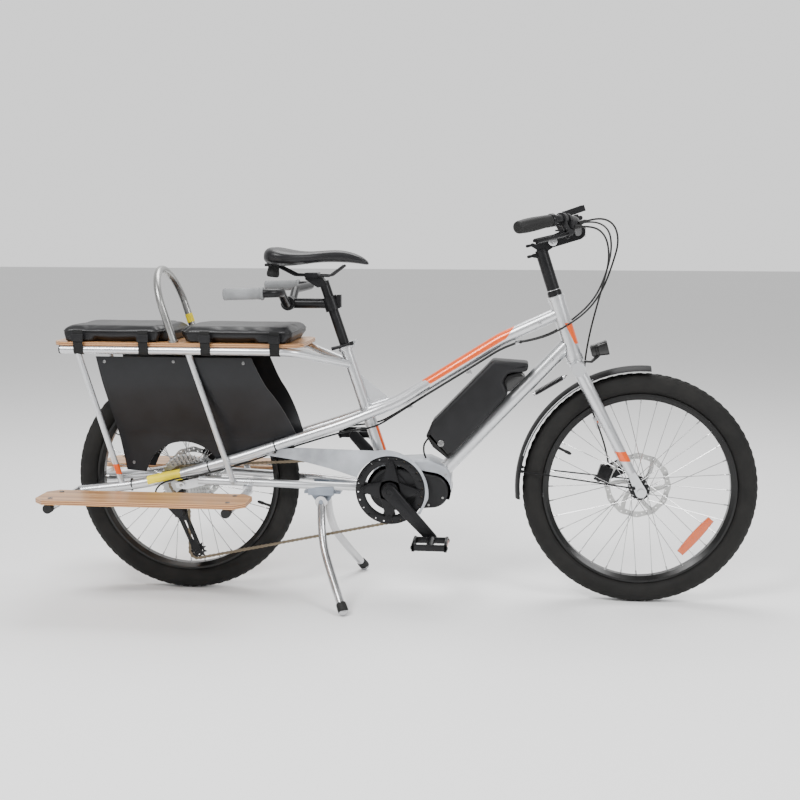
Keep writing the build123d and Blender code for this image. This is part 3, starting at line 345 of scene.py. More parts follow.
def lathe(name, profile, start, axis, steps=32, swell=None):
    """Turned shape: profile is (distance along, radius); it is closed at both ends.

    swell(distance, angle) may change the radius, as on a shaped grip."""
    start, axis = Vector(start), Vector(axis).normalized()
    side, other = frame_along(axis)
    vertices, faces = [], []
    for distance, radius in profile:
        for step in range(steps):
            angle = 2 * math.pi * step / steps
            grown = radius * (swell(distance, angle) if swell else 1)
            vertices.append(start + axis * distance
                            + (side * math.cos(angle) + other * math.sin(angle)) * grown)
    for ring in range(len(profile) - 1):
        for step in range(steps):
            a, b = ring * steps + step, ring * steps + (step + 1) % steps
            faces.append((a, b, b + steps, a + steps))
    faces.append(tuple(range(steps)))
    faces.append(tuple(range((len(profile) - 1) * steps, len(profile) * steps)))
    return mesh_object(name, vertices, faces)


def hoop_lathe(name, profile, centre, steps=96):
    """Ring around an axle from a closed (y, radius) profile."""
    vertices, faces = [], []
    count = len(profile)
    for step in range(steps):
        angle = 2 * math.pi * step / steps
        for y, radius in profile:
            vertices.append((centre[0] + radius * math.cos(angle), y, centre[1] + radius * math.sin(angle)))
    for step in range(steps):
        for index in range(count):
            a, b = step * count + index, step * count + (index + 1) % count
            after = (step + 1) % steps
            faces.append((a, b, after * count + (index + 1) % count, after * count + index))
    return mesh_object(name, vertices, faces)


def curve_object(name, points, radius=0.0, kind="POLY", closed=False, sides=5):
    """A curve through points, or guided by them when it is NURBS."""
    curve = bpy.data.curves.new(name, "CURVE")
    curve.dimensions = "3D"
    curve.bevel_depth = radius
    curve.bevel_resolution = sides
    curve.use_fill_caps = True
    curve.resolution_u = 12
    line = curve.splines.new(kind)
    line.points.add(len(points) - 1)
    for point, place in zip(line.points, points):
        point.co = (*place, 1)
    line.use_cyclic_u = closed
    if kind == "NURBS":
        line.order_u = 3
        line.use_endpoint_u = True
    made = bpy.data.objects.new(name, curve)
    bpy.context.scene.collection.objects.link(made)
    return made


def tube(name, points, radius, kind="POLY", closed=False, sides=5):
    """Round tube along points."""
    return as_mesh(curve_object(name, points, radius, kind, closed, sides))


def centreline(route):
    """Close points on the smooth line that a route's NURBS spline gives."""
    line = as_mesh(curve_object("line", route, kind="NURBS"))
    points = [vertex.co.copy() for vertex in line.data.vertices]
    bpy.data.objects.remove(line)
    return points


def polar(centre, radius, degrees):
    """Point (x, z) at an angle from forwards, turning upwards."""
    turn = math.radians(degrees)
    return (centre[0] + radius * math.cos(turn), centre[1] + radius * math.sin(turn))


def circle(centre, radius, steps=32, first=0.0):
    return [polar(centre, radius, first + 360 * step / steps) for step in range(steps)]


def link_loop(centre_a, radius_a, centre_b, radius_b, steps=14):
    """Outline of a flat link with two round ends."""
    across, up = centre_b[0] - centre_a[0], centre_b[1] - centre_a[1]
    heading = math.degrees(math.atan2(up, across))
    open_angle = math.degrees(math.acos((radius_a - radius_b) / math.hypot(across, up)))
    loop = []
    for step in range(steps + 1):
        loop.append(polar(centre_b, radius_b, heading - open_angle + 2 * open_angle * step / steps))
    for step in range(steps + 1):
        loop.append(polar(centre_a, radius_a,
                          heading + open_angle + (360 - 2 * open_angle) * step / steps))
    return loop


def rounded_loop(points, radius, steps=5):
    """Outline with each corner turned into an arc, as large as its sides allow."""
    loop = []
    count = len(points)
    for index, corner in enumerate(points):
        corner = Vector(corner)
        run_in = Vector(points[index - 1]) - corner
        run_out = Vector(points[(index + 1) % count]) - corner
        half = run_in.angle(run_out) / 2
        if half > math.radians(88):
            loop.append(tuple(corner))
            continue
        cut = min(radius / math.tan(half), 0.45 * run_in.length, 0.45 * run_out.length)
        start = corner + run_in.normalized() * cut
        end = corner + run_out.normalized() * cut
        for step in range(steps + 1):
            part = step / steps
            place = start * (1 - part) ** 2 + corner * 2 * part * (1 - part) + end * part ** 2
            loop.append(tuple(place))
    return loop


def inset(loop, distance):
    """Outline moved inwards by a distance."""
    count = len(loop)
    area = sum(loop[i - 1][0] * loop[i][1] - loop[i][0] * loop[i - 1][1] for i in range(count))
    turn = 1 if area > 0 else -1
    moved = []
    for index in range(count):
        before, point, after = Vector(loop[index - 1]), Vector(loop[index]), Vector(loop[(index + 1) % count])
        run_in, run_out = (point - before).normalized(), (after - point).normalized()
        normal = Vector((-(run_in.y + run_out.y), run_in.x + run_out.x))
        normal = normal.normalized() if normal.length > 1e-9 else Vector((-run_in.y, run_in.x))
        stretch = min(1.6, 1 / max(0.3, normal.dot(Vector((-run_in.y, run_in.x)))))
        moved.append(tuple(point + normal * turn * distance * stretch))
    return moved


def rounded_slab(name, loop, y_low, y_high, edge, steps=3):
    """Plate with a side-view outline (x, z) and rounded edges."""
    layers = []
    for step in range(steps + 1):
        turn = math.pi / 2 * step / steps
        layers.append((y_low + edge * (1 - math.sin(turn)), edge * (1 - math.cos(turn))))
    layers = list(reversed(layers)) + [(y_low + y_high - y, drop) for y, drop in layers]
    layers.sort(key=lambda layer: layer[0])
    vertices, faces = [], []
    count = len(loop)
    for y, drop in layers:
        vertices += [(x, y, z) for x, z in inset(loop, drop)]
    for layer in range(len(layers) - 1):
        for index in range(count):
            a, b = layer * count + index, layer * count + (index + 1) % count
            faces.append((a, b, b + count, a + count))
    faces.append(tuple(range(count)))
    faces.append(tuple(range((len(layers) - 1) * count, len(layers) * count)))
    return mesh_object(name, vertices, faces)


def flat_part(name, loops, y_low, y_high, edge=0.0):
    """Sheet part with holes: the first loop is its outline, the others are its openings."""
    curve = bpy.data.curves.new(name, "CURVE")
    curve.dimensions = "2D"
    curve.fill_mode = "BOTH"
    curve.extrude = (y_high - y_low) / 2 - edge
    curve.bevel_depth = edge
    curve.bevel_resolution = 1
    curve.offset = -edge
    for loop in loops:
        line = curve.splines.new("POLY")
        line.points.add(len(loop) - 1)
        for point, (x, z) in zip(line.points, loop):
            point.co = (x, z, 0, 1)
        line.use_cyclic_u = True
    made = bpy.data.objects.new(name, curve)
    bpy.context.scene.collection.objects.link(made)
    plain = as_mesh(made)
    upright = Matrix(((1, 0, 0, 0), (0, 0, -1, (y_low + y_high) / 2), (0, 1, 0, 0), (0, 0, 0, 1)))
    plain.data.transform(upright)
    work = bmesh.new()
    work.from_mesh(plain.data)
    bmesh.ops.remove_doubles(work, verts=work.verts, dist=1e-6)
    work.to_mesh(plain.data)
    work.free()
    return plain


def block(name, centre, size, edge, turn=None):
    """Box with rounded edges, turned about its centre."""
    work = bmesh.new()
    bmesh.ops.create_cube(work, size=1)
    bmesh.ops.scale(work, vec=size, verts=work.verts)
    bmesh.ops.bevel(work, geom=work.edges[:], offset=edge, segments=2, affect="EDGES", profile=0.6)
    mesh = bpy.data.meshes.new(name)
    work.to_mesh(mesh)
    work.free()
    placed = Matrix.Translation(Vector(centre)) @ (turn.to_4x4() if turn else Matrix.Identity(4))
    mesh.transform(placed)
    made = bpy.data.objects.new(name, mesh)
    bpy.context.scene.collection.objects.link(made)
    return made


def ribbon(name, path, x_middle, width, thickness, closed=False):
    """Flat webbing across x, following a (y, z) path."""
    count = len(path)
    vertices, faces = [], []
    for index, point in enumerate(path):
        before = Vector(path[index - 1] if index or closed else point)
        after = Vector(path[(index + 1) % count] if index < count - 1 or closed else point)
        run = (after - before).normalized()
        normal = Vector((-run.y, run.x)) * thickness / 2
        for sign in (1, -1):
            for x in (x_middle - width / 2, x_middle + width / 2):
                vertices.append((x, point[0] + normal.x * sign, point[1] + normal.y * sign))
    for index in range(count if closed else count - 1):
        a, b = 4 * index, 4 * ((index + 1) % count)
        faces += [(a, a + 1, b + 1, b), (a + 2, b + 2, b + 3, a + 3), (a, b, b + 2, a + 2),
                  (a + 1, a + 3, b + 3, b + 1)]
    if not closed:
        end = 4 * (count - 1)
        faces += [(0, 2, 3, 1), (end, end + 1, end + 3, end + 2)]
    return mesh_object(name, vertices, faces)


# ---- node trees for what repeats ----------------------------------------
class Tree:
    """A geometry node group with named inputs."""

    def __init__(self, name, **sockets):
        self.group = bpy.data.node_groups.new(name, "GeometryNodeTree")
        self.group.interface.new_socket("Geometry", in_out="INPUT", socket_type="NodeSocketGeometry")
        self.group.interface.new_socket("Geometry", in_out="OUTPUT", socket_type="NodeSocketGeometry")
        for title, kind in sockets.items():
            self.group.interface.new_socket(title, in_out="INPUT", socket_type="NodeSocket" + kind)
        self.start = self.group.nodes.new("NodeGroupInput").outputs
        self.end = self.group.nodes.new("NodeGroupOutput")

    def node(self, kind, settings=None, values=None):
        """Add a node, join or set its sockets, and give its outputs."""
        made = self.group.nodes.new(kind)
        for name, value in (settings or {}).items():
            setattr(made, name, value)
        for name, value in (values or {}).items():
            if isinstance(value, bpy.types.NodeSocket):
                self.group.links.new(value, made.inputs[name])
            else:
                made.inputs[name].default_value = value
        return made.outputs

    def finish(self, geometry):
        """End in real geometry with the tree's material."""
        real = self.node("GeometryNodeRealizeInstances", None, {0: geometry})[0]
        coated = self.node("GeometryNodeSetMaterial", None,
                           {"Geometry": real, "Material": self.start["Material"]})
        self.group.links.new(coated[0], self.end.inputs[0])
        return self.group


def tree_around_axle():
    """Copies of one item turned about an axle across the bicycle."""
    tree = Tree("around_axle", Count="Int", Axle="Vector", Material="Material")
    full_turn = tree.node("ShaderNodeMath", {"operation": "DIVIDE"},
                          {0: 2 * math.pi, 1: tree.start["Count"]})[0]
    index = tree.node("GeometryNodeInputIndex")[0]
    angle = tree.node("ShaderNodeMath", {"operation": "MULTIPLY"}, {0: index, 1: full_turn})[0]
    turn = tree.node("ShaderNodeCombineXYZ", None, {1: angle})[0]
    back = tree.node("ShaderNodeVectorMath", {"operation": "SCALE"},
                     {0: tree.start["Axle"], "Scale": -1.0})[0]
    item = tree.node("GeometryNodeTransform", None,
                     {"Geometry": tree.start["Geometry"], "Translation": back})[0]
    seats = tree.node("GeometryNodeMeshLine", None,
                      {"Count": tree.start["Count"], "Start Location": tree.start["Axle"],
                       "Offset": (0, 0, 0)})[0]
    copies = tree.node("GeometryNodeInstanceOnPoints", None,
                       {"Points": seats, "Instance": item, "Rotation": turn})[0]
    return tree.finish(copies)


def tree_along_path():
    """Two items by turns along a closed path that lies across the y axis."""
    tree = Tree("along_path", Count="Int", Outer="Object", Inner="Object", Material="Material")
    seats = tree.node("GeometryNodeCurveToPoints", {"mode": "COUNT"},
                      {"Curve": tree.start["Geometry"], "Count": tree.start["Count"]})
    turn = tree.node("FunctionNodeAxesToRotation", {"primary_axis": "X", "secondary_axis": "Y"},
                     {"Primary Axis": seats["Tangent"], "Secondary Axis": (0, 1, 0)})[0]
    index = tree.node("GeometryNodeInputIndex")[0]
    odd = tree.node("ShaderNodeMath", {"operation": "MODULO"}, {0: index, 1: 2.0})[0]
    even = tree.node("ShaderNodeMath", {"operation": "SUBTRACT"}, {0: 1.0, 1: odd})[0]
    join = tree.group.nodes.new("GeometryNodeJoinGeometry")
    for title, chosen in (("Outer", odd), ("Inner", even)):
        item = tree.node("GeometryNodeObjectInfo", None, {"Object": tree.start[title]})["Geometry"]
        copies = tree.node("GeometryNodeInstanceOnPoints", None,
                           {"Points": seats["Points"], "Selection": chosen, "Instance": item,
                            "Rotation": turn})
        tree.group.links.new(copies[0], join.inputs[0])
    return tree.finish(join.outputs[0])


def tree_at_places():
    """Copies of one item at points, each aimed along the point's own direction."""
    tree = Tree("at_places", Item="Object", Material="Material")
    aim = tree.node("GeometryNodeInputNamedAttribute", {"data_type": "FLOAT_VECTOR"}, {"Name": "aim"})[0]
    turn = tree.node("FunctionNodeAlignRotationToVector", {"axis": "Z"}, {"Vector": aim})[0]
    item = tree.node("GeometryNodeObjectInfo", None, {"Object": tree.start["Item"]})["Geometry"]
    copies = tree.node("GeometryNodeInstanceOnPoints", None,
                       {"Points": tree.start["Geometry"], "Instance": item, "Rotation": turn})[0]
    return tree.finish(copies)


TREES = {"axle": tree_around_axle(), "path": tree_along_path(), "places": tree_at_places()}


def grown(carrier, tree, **inputs):
    """Run one of the node trees on an object and keep the plain mesh."""
    group = TREES[tree]
    modifier = carrier.modifiers.new("grow", "NODES")
    modifier.node_group = group
    for socket in group.interface.items_tree:
        if socket.in_out == "INPUT" and socket.name in inputs:
            modifier[socket.identifier] = inputs[socket.name]
    return as_mesh(carrier)


def around(item, count, axle, finish):
    """Copies of an item round an axle (x, z)."""
    return grown(item, "axle", Count=count, Axle=(axle[0], 0.0, axle[1]), Material=finish)


def at_places(name, item, places, finish):
    """Copies of an item, built standing on the origin, at (point, direction) places."""
    carrier = mesh_object(name, [], [])
    mesh = bpy.data.meshes.new(name)
    mesh.from_pydata([tuple(point) for point, aim in places], [], [])
    aims = mesh.attributes.new("aim", "FLOAT_VECTOR", "POINT")
    for index, (point, aim) in enumerate(places):
        aims.data[index].vector = aim
    carrier.data = mesh
    made = grown(carrier, "places", Item=item, Material=finish)
    bpy.data.objects.remove(item)
    return made


# ---- places taken from the frame ----------------------------------------
def middle(node):
    low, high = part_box(node)
    return (low + high) / 2


front_tyre_low, front_tyre_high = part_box("front_tyre")
front_axle = (middle("front_tyre").x, middle("front_tyre").z)
rear_axle = (middle("rear_tyre").x, middle("rear_tyre").z)
TYRE_RADIUS = (front_tyre_high.z - front_tyre_low.z) / 2
TYRE_HALF_WIDTH = (front_tyre_high.y - front_tyre_low.y) / 2
rim_low, rim_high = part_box("front_rim")
RIM_OUTER = (rim_high.x - rim_low.x) / 2
RIM_DEPTH = 0.0165
RIM_INNER = RIM_OUTER - RIM_DEPTH
HEAD_BOTTOM = Vector((0.452, 0, 0.661))
HEAD_TOP = Vector((0.397, 0, 0.828))
head_axis = (HEAD_TOP - HEAD_BOTTOM).normalized()
bb = (-0.038, 0.303)
CHAIN_Y = middle("chain").y
CHAIN_PITCH = 0.0127
deck_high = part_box("deck_board")[1]
rail_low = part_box("rack_rails")[0]
RAIL_Y, RAIL_Z = 0.120, 0.681


def pitch_radius(teeth):
    return CHAIN_PITCH / (2 * math.sin(math.pi / teeth))


# ---- finishes of this bicycle -------------------------------------------
def top_tube_band(made):
    """Orange panel with a slanted end at the rear and at the front."""
    x, z = made.axis(0), made.axis(2)
    behind = z + x * 0.29 > 0.6097
    ahead = x - z * 0.68 < -0.2177
    above = z - x * 0.62 > 0.5478
    return behind * ahead * above


def head_band(made):
    """Small orange flash on the front of the head tube."""
    x, z = made.axis(0), made.axis(2)
    forward = x + (z - 0.72) * 0.52 > 0.4415
    return forward * (z > 0.703) * (z < 0.758)


def fork_band(made):
    z = made.axis(2)
    return (z > 0.398) * (z < 0.424)


def strut_band(made):
    """Orange ring low on each rear strut."""
    z = made.axis(2)
    return (z > 0.338) * (z < 0.366) * (made.axis(0) < -0.7)


def seat_tube_band(made):
    """Narrow stripe low on the front of the seat tube."""
    x, z = made.axis(0), made.axis(2)
    forward = x + (z - 0.40) * 0.335 > -0.0585
    return forward * (z > 0.405) * (z < 0.472)


def fender_finish():
    """Black guard with a painted highlight: a pale line near its edge, on its upper rear part only."""
    made = Finish("fender_black", Specular_IOR_Level=0.18)
    height = radius_from(made, *front_axle)
    # Painted highlight: a thin pale line at one radius, only on the upper rear part, where the edge catches
    # the light.
    line = (abs(height - 0.3236) < 0.0008) * (made.axis(2) > 0.40) * (made.axis(0) < 0.50)
    wear = made.noise(20, detail=5)
    black = made.ramp(wear, (0.3, (0.004, 0.004, 0.0045)), (0.8, (0.010, 0.010, 0.0105)))
    made.feed(Base_Color=made.mix(line, black, (0.62, 0.63, 0.64)),
              Roughness=made.ramp(wear, (0.2, 0.42), (0.8, 0.55)))
    made.bump(made.noise(500), 0.1, 0.0002)
    return made.material


def tyre_finish():
    """Black rubber with fine moulded ribs and a dusty bloom on the sidewall."""
    made = Finish("tyre_black", Specular_IOR_Level=0.25)
    dust = made.noise(26, detail=6)
    fine = made.noise(900, detail=2)
    made.feed(Base_Color=made.ramp(dust, (0.3, (0.007, 0.0068, 0.0065)), (0.85, (0.017, 0.0162, 0.015))),
              Roughness=made.ramp(dust * 0.6 + fine * 0.4, (0.2, 0.62), (0.85, 0.85)))
    made.bump(fine, 0.35, 0.0003)
    return made.material


def amber_finish():
    """Clear amber plastic over small prisms."""
    made = Finish("amber_reflector", Coat_Weight=1.0, Coat_Roughness=0.05, Specular_IOR_Level=0.6)
    prisms = made.cells(420, feature="F1")
    made.feed(Base_Color=made.ramp(prisms, (0.1, (0.80, 0.14, 0.0)), (0.7, (0.50, 0.06, 0.0))),
              Roughness=made.ramp(prisms, (0.1, 0.12), (0.8, 0.3)))
    made.bump(prisms, 0.6, 0.0008)
    return made.material


silver = silver_paint("silver_enamel")
top_tube_paint = silver_paint("silver_enamel_top_tube", top_tube_band)
head_paint = silver_paint("silver_enamel_head", head_band)
fork_paint = silver_paint("silver_enamel_fork", fork_band)
strut_paint = silver_paint("silver_enamel_struts", strut_band)
seat_tube_paint = silver_paint("silver_enamel_seat_tube", seat_tube_band)
fender_black = fender_finish()
tyre_black = tyre_finish()
amber = amber_finish()
black_alloy = moulded("black_anodised", (0.008, 0.008, 0.009), 0.34, grain=1400, depth=0.0001, metallic=0.3)
black_plastic = moulded("black_moulding", (0.007, 0.007, 0.008), 0.46)
gloss_black = moulded("gloss_black", (0.005, 0.005, 0.005), 0.2, grain=600, depth=0.00005, coat=0.6)
soft_black = moulded("soft_black_rubber", (0.009, 0.009, 0.009), 0.6, grain=700, depth=0.0004)
grip_grey = moulded("grey_rubber", (0.20, 0.205, 0.21), 0.6, grain=800, depth=0.0004)
panel_black = moulded("panel_black", (0.006, 0.0065, 0.008), 0.36, grain=260, depth=0.0002)
guard_silver = moulded("guard_silver", (0.40, 0.42, 0.45), 0.4, grain=1600, depth=0.0001, coat=0.3,
                       metallic=0.35)
bracket_grey = moulded("bracket_grey", (0.28, 0.31, 0.36), 0.38, grain=900, depth=0.0002, metallic=0.5)
polished = brushed("polished_alloy", (0.62, 0.62, 0.63), 0.24)
dark_alloy = brushed("dark_alloy", (0.25, 0.25, 0.25), 0.36)
steel = brushed("brushed_steel", (0.45, 0.45, 0.44), 0.32)
hoop_steel = brushed("hoop_steel", (0.40, 0.40, 0.39), 0.34, stretch=(1, 1, 1))
spoke_steel = brushed("spoke_steel", (0.50, 0.50, 0.50), 0.22)
rotor_steel = brushed("rotor_steel", (0.50, 0.50, 0.49), 0.3, stretch=(1, 1, 1))
chain_bronze = brushed("oiled_chain", (0.20, 0.165, 0.12), 0.38, stretch=(1, 1, 1))
rim_black = moulded("rim_black", (0.005, 0.005, 0.005), 0.3, grain=1500, depth=0.0001, coat=0.2, metallic=0.3)
seat_vinyl = leatherette("seat_vinyl", (0.006, 0.006, 0.007), 0.42)
saddle_vinyl = leatherette("saddle_vinyl", (0.005, 0.005, 0.006), 0.38, scale=700)
webbing = moulded("strap_webbing", (0.007, 0.007, 0.007), 0.75, grain=1800, depth=0.0006)
cable_black = moulded("cable_jacket", (0.006, 0.006, 0.006), 0.4, grain=500, depth=0.0001)
yellow_tape = moulded("yellow_tape", (0.78, 0.62, 0.01), 0.42, grain=300, depth=0.0002)
lamp_glass = moulded("lamp_lens", (0.78, 0.80, 0.82), 0.12, grain=240, depth=0.0006, coat=1.0)
plywood = bamboo("bamboo_ply")

CAD_FINISHES = {
    "front_frame": head_paint, "seat_tube": seat_tube_paint, "top_tube": top_tube_paint,
    "side_tubes": silver, "rear_stays": silver, "board_supports": silver, "rack_rails": silver,
    "rack_struts": strut_paint, "fork_crown": silver, "fork_legs": fork_paint, "deck_board": plywood,
    "running_boards": plywood, "hoop_rail": hoop_steel, "front_rim": rim_black,
    "rear_rim": rim_black, "front_fender": fender_black, "chain_guard": guard_silver,
    "stand_bracket": bracket_grey, "kickstand": polished, "derailleur": black_alloy,
    "stem_riser": black_alloy, "tilt_lever": black_alloy, "height_lever": black_alloy,
    "handlebar": black_alloy, "controls": black_plastic, "brake_lever_right": black_alloy,
    "brake_lever_left": black_alloy, "shift_lever": black_plastic, "seatpost": black_alloy,
    "stoker_stem": black_alloy, "stoker_bar": black_alloy, "seat_lever": black_alloy,
    "stem_head": black_alloy, "frame_cables": cable_black,
    "pedal_right": black_alloy, "pedal_left": black_alloy, "motor_body": black_plastic,
}
for node_name, finish in CAD_FINISHES.items():
    for material_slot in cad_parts[node_name].material_slots:
        material_slot.material = finish


# ---- wheels -------------------------------------------------------------
def tyre_height(y):
    """Radius of the carcass at a distance from the middle plane."""
    carcass = TYRE_HALF_WIDTH - 0.0012
    return TYRE_RADIUS - TYRE_HALF_WIDTH + math.sqrt(max(0.0, carcass ** 2 - y ** 2))


def tread_block(name, centre, corners):
    """Raised rubber block on the tyre: corners are (y, degrees) places."""
    vertices = []
    for lift in (-0.0006, 0.0011):
        for y, degrees in corners:
            x, z = polar(centre, tyre_height(y) + lift, degrees)
            vertices.append((x, y, z))
    faces = [(0, 1, 2, 3), (4, 5, 6, 7)] + [(i, (i + 1) % 4, 4 + (i + 1) % 4, 4 + i) for i in range(4)]
    return mesh_object(name, vertices, faces)


def tyre(name, centre, body, node):
    """Rubber carcass with sidewall ribs, and tread blocks all the way round."""
    profile = []
    seat = 0.0165
    steps = 40
    full = TYRE_HALF_WIDTH - 0.0012
    start = math.degrees(math.asin((RIM_OUTER + 0.0015 - (TYRE_RADIUS - TYRE_HALF_WIDTH)) / full))
    for step in range(steps + 1):
        angle = math.radians(start + (180 - 2 * start) * step / steps)
        rib = 0.0
        if 20 < abs(math.degrees(angle) - 90) < 96:
            rib = 0.0005 * (1 if step % 4 == 1 else 0)
        profile.append(((full + rib) * math.cos(angle),
                        TYRE_RADIUS - TYRE_HALF_WIDTH + (full + rib) * math.sin(angle)))
    profile += [(-seat, RIM_OUTER + 0.0006), (-seat + 0.004, RIM_OUTER + 0.0002),
                (seat - 0.004, RIM_OUTER + 0.0002), (seat, RIM_OUTER + 0.0006)]
    carcass = hoop_lathe(name, profile, centre, steps=120)
    rows = [[(0.000, 0.0), (0.0032, 1.0), (0.000, 2.0), (-0.0032, 1.0)]]
    for side in BOTH_SIDES:
        rows.append([(side * 0.0042, 0.3), (side * 0.0092, 1.1), (side * 0.0092, 3.0), (side * 0.0042, 2.2)])
        rows.append([(side * 0.0108, 1.6), (side * 0.0158, 2.2), (side * 0.0158, 4.2), (side * 0.0108, 3.6)])
        rows.append([(side * 0.0174, 0.2), (side * 0.0224, 0.6), (side * 0.0224, 2.4), (side * 0.0174, 2.0)])
    blocks = joined("block", *[tread_block("block", centre, corners) for corners in rows])
    tread = around(blocks, 76, centre, tyre_black)
    made = joined(name, carcass, tread)
    finished(made, tyre_black, body)
    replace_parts(made, node)


tyre("front_tyre_rubber", front_axle, "front_wheel", "front_tyre")
tyre("rear_tyre_rubber", rear_axle, "rear_wheel", "rear_tyre")


def spoke_set(name, centre, body, node, flange_radius, flanges):
    """Crossed spokes with nipples, from the y of each hub flange."""
    sets = []
    for index, flange_y in enumerate(flanges):
        for direction in (-1, 1):
            first = index * 10 + (direction > 0) * 20
            hub = polar(centre, flange_radius, first - direction * 56)
            rim = polar(centre, RIM_INNER + 0.001, first)
            start = Vector((hub[0], flange_y + direction * 0.0016, hub[1]))
            end = Vector((rim[0], math.copysign(0.003, flange_y), rim[1]))
            run = (end - start).normalized()
            wire = lathe("wire", [(0, 0.00105), ((end - start).length, 0.00105)], start, run, steps=6)
            nipple = lathe("nipple", [(0, 0.0016), (0.002, 0.0021), (0.0135, 0.0021)],
                           end - run * 0.0125, run, steps=6)
            head = lathe("head", [(-0.0012, 0.0012), (-0.0006, 0.0022), (0.0006, 0.0022), (0.0012, 0.0012)],
                         start, (0, direction, 0), steps=6)
            sets.append(around(joined("spoke", wire, nipple, head), 9, centre, spoke_steel))
    made = finished(joined(name, *sets), spoke_steel, body)
    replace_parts(made, node)


def brake_disc(name, centre, y, radius, body):
    """Wave-edged disc with drilled band and six swept arms."""
    outline = []
    for step in range(144):
        angle = 360 * step / 144
        outline.append(polar(centre, radius - 0.0016 + 0.0014 * math.cos(math.radians(angle * 12)), angle))
    loops = [outline]
    for count in range(6):
        window = []
        for part in range(9):
            window.append(polar(centre, radius - 0.0165, count * 60 + 4 + part * 50 / 8))
        for part in range(7):
            share = part / 6
            window.append(polar(centre, radius - 0.0165 - (radius - 0.043) * share,
                                count * 60 + 54 - 22 * share))
        for part in range(1, 6):
            window.append(polar(centre, 0.0265, count * 60 + 32 - part * 42 / 6))
        for part in range(6):
            share = 1 - part / 6
            window.append(polar(centre, radius - 0.0165 - (radius - 0.043) * share,
                                count * 60 + 4 - 14 * share))
        loops.append(window)
    for count in range(36):
        offset = (0.0045, 0.0080, 0.0115)[count % 3]
        loops.append(circle(polar(centre, radius - offset - 0.0018, count * 10), 0.0021, 8))
    disc = flat_part(name, loops, y - 0.001, y + 0.001)
    finished(disc, rotor_steel, body, smooth_angle=30)
    bolt_side = math.copysign(1, y)
    places = [polar(centre, 0.022, 60 * count) for count in range(6)]
    bolts = [lathe("bolt", [(0, 0.0035), (0.0016, 0.0035), (0.0022, 0.0026), (0.0022, 0.0014),
                            (0.0010, 0.0012)],
                   (place[0], y + bolt_side * 0.001, place[1]), (0, bolt_side, 0), steps=12)
             for place in places]
    finished(joined(name + "_bolts", *bolts), black_alloy, body)


def hub_shell(name, centre, profile, body, node, finish):
    made = lathe(name, profile, centred(centre), (0, 1, 0), steps=48)
    finished(made, finish, body, smooth_angle=35)
    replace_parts(made, node)


hub_shell("front_hub_shell", front_axle,
          [(-0.0499, 0.006), (-0.0499, 0.010), (-0.045, 0.0105), (-0.044, 0.0145), (-0.0305, 0.016),
           (-0.030, 0.0265), (-0.0268, 0.0265), (-0.0262, 0.018), (-0.012, 0.0145), (0.012, 0.0145),
           (0.0262, 0.018), (0.0268, 0.0265), (0.030, 0.0265), (0.0305, 0.0255), (0.0368, 0.0255),
           (0.0372, 0.0125), (0.0499, 0.0105), (0.0499, 0.006)],
          "front_wheel", "front_hub", black_alloy)
hub_shell("rear_hub_shell", rear_axle,
          [(-0.0668, 0.006), (-0.0668, 0.0105), (-0.0615, 0.0112), (-0.060, 0.0168), (-0.0225, 0.0168),
           (-0.0222, 0.0275), (-0.0192, 0.0275), (-0.0185, 0.021), (-0.004, 0.0168), (0.018, 0.0168),
           (0.0335, 0.021), (0.0342, 0.0275), (0.0372, 0.0275), (0.0378, 0.0255), (0.0496, 0.0255),
           (0.0503, 0.0125), (0.0668, 0.0105), (0.0668, 0.006)],
          "rear_wheel", "rear_hub", black_alloy)
spoke_set("front_laced_spokes", front_axle, "front_wheel", "front_spokes", 0.0225, (-0.0284, 0.0284))
spoke_set("rear_laced_spokes", rear_axle, "rear_wheel", "rear_spokes", 0.0235, (-0.0207, 0.0357))
FRONT_ROTOR_Y = 0.038
REAR_ROTOR_Y = 0.051
FRONT_DISC_RADIUS = 0.090
REAR_DISC_RADIUS = 0.080
brake_disc("front_brake_disc", front_axle, FRONT_ROTOR_Y, FRONT_DISC_RADIUS, "front_wheel")
brake_disc("rear_brake_disc", rear_axle, REAR_ROTOR_Y, REAR_DISC_RADIUS, "rear_wheel")


def valve(name, centre, degrees, body):
    """Tyre valve with its cap, standing in from the rim."""
    start = polar(centre, RIM_INNER + 0.002, degrees)
    inner = polar(centre, RIM_INNER - 0.04, degrees)
    run = Vector((inner[0] - start[0], 0, inner[1] - start[1]))
    stem = lathe(name, [(0, 0.0055), (0.003, 0.0055), (0.0035, 0.0038), (0.022, 0.0036), (0.0225, 0.0046),
                        (0.036, 0.0046), (0.038, 0.0032), (0.040, 0.0030)],
                 centred(start), run, steps=16)
    finished(stem, soft_black, body)


valve("front_valve", front_axle, 154, "front_wheel")
valve("rear_valve", rear_axle, -18, "rear_wheel")


def reflector(name, centre, degrees, radius, y, body):
    """Long amber spoke reflector, set square to the radius."""
    loop = []
    for step in range(9):
        share = step / 8
        loop.append((0.062 * (2 * share - 1), 0.0125 - 0.0035 * (2 * share - 1) ** 2))
    loop += [(-x, -z) for x, z in loop]
    turn = math.radians(degrees + 90)
    place = polar(centre, radius, degrees)
    placed = [(place[0] + x * math.cos(turn) - z * math.sin(turn),
               place[1] + x * math.sin(turn) + z * math.cos(turn)) for x, z in loop]
    made = rounded_slab(name, placed, y - 0.0045, y + 0.0045, 0.0015)
    finished(made, amber, body)


reflector("front_spoke_reflector", front_axle, -39.5, 0.198, -0.0095, "front_wheel")
reflector("rear_spoke_reflector", rear_axle, 128, 0.198, -0.0095, "rear_wheel")


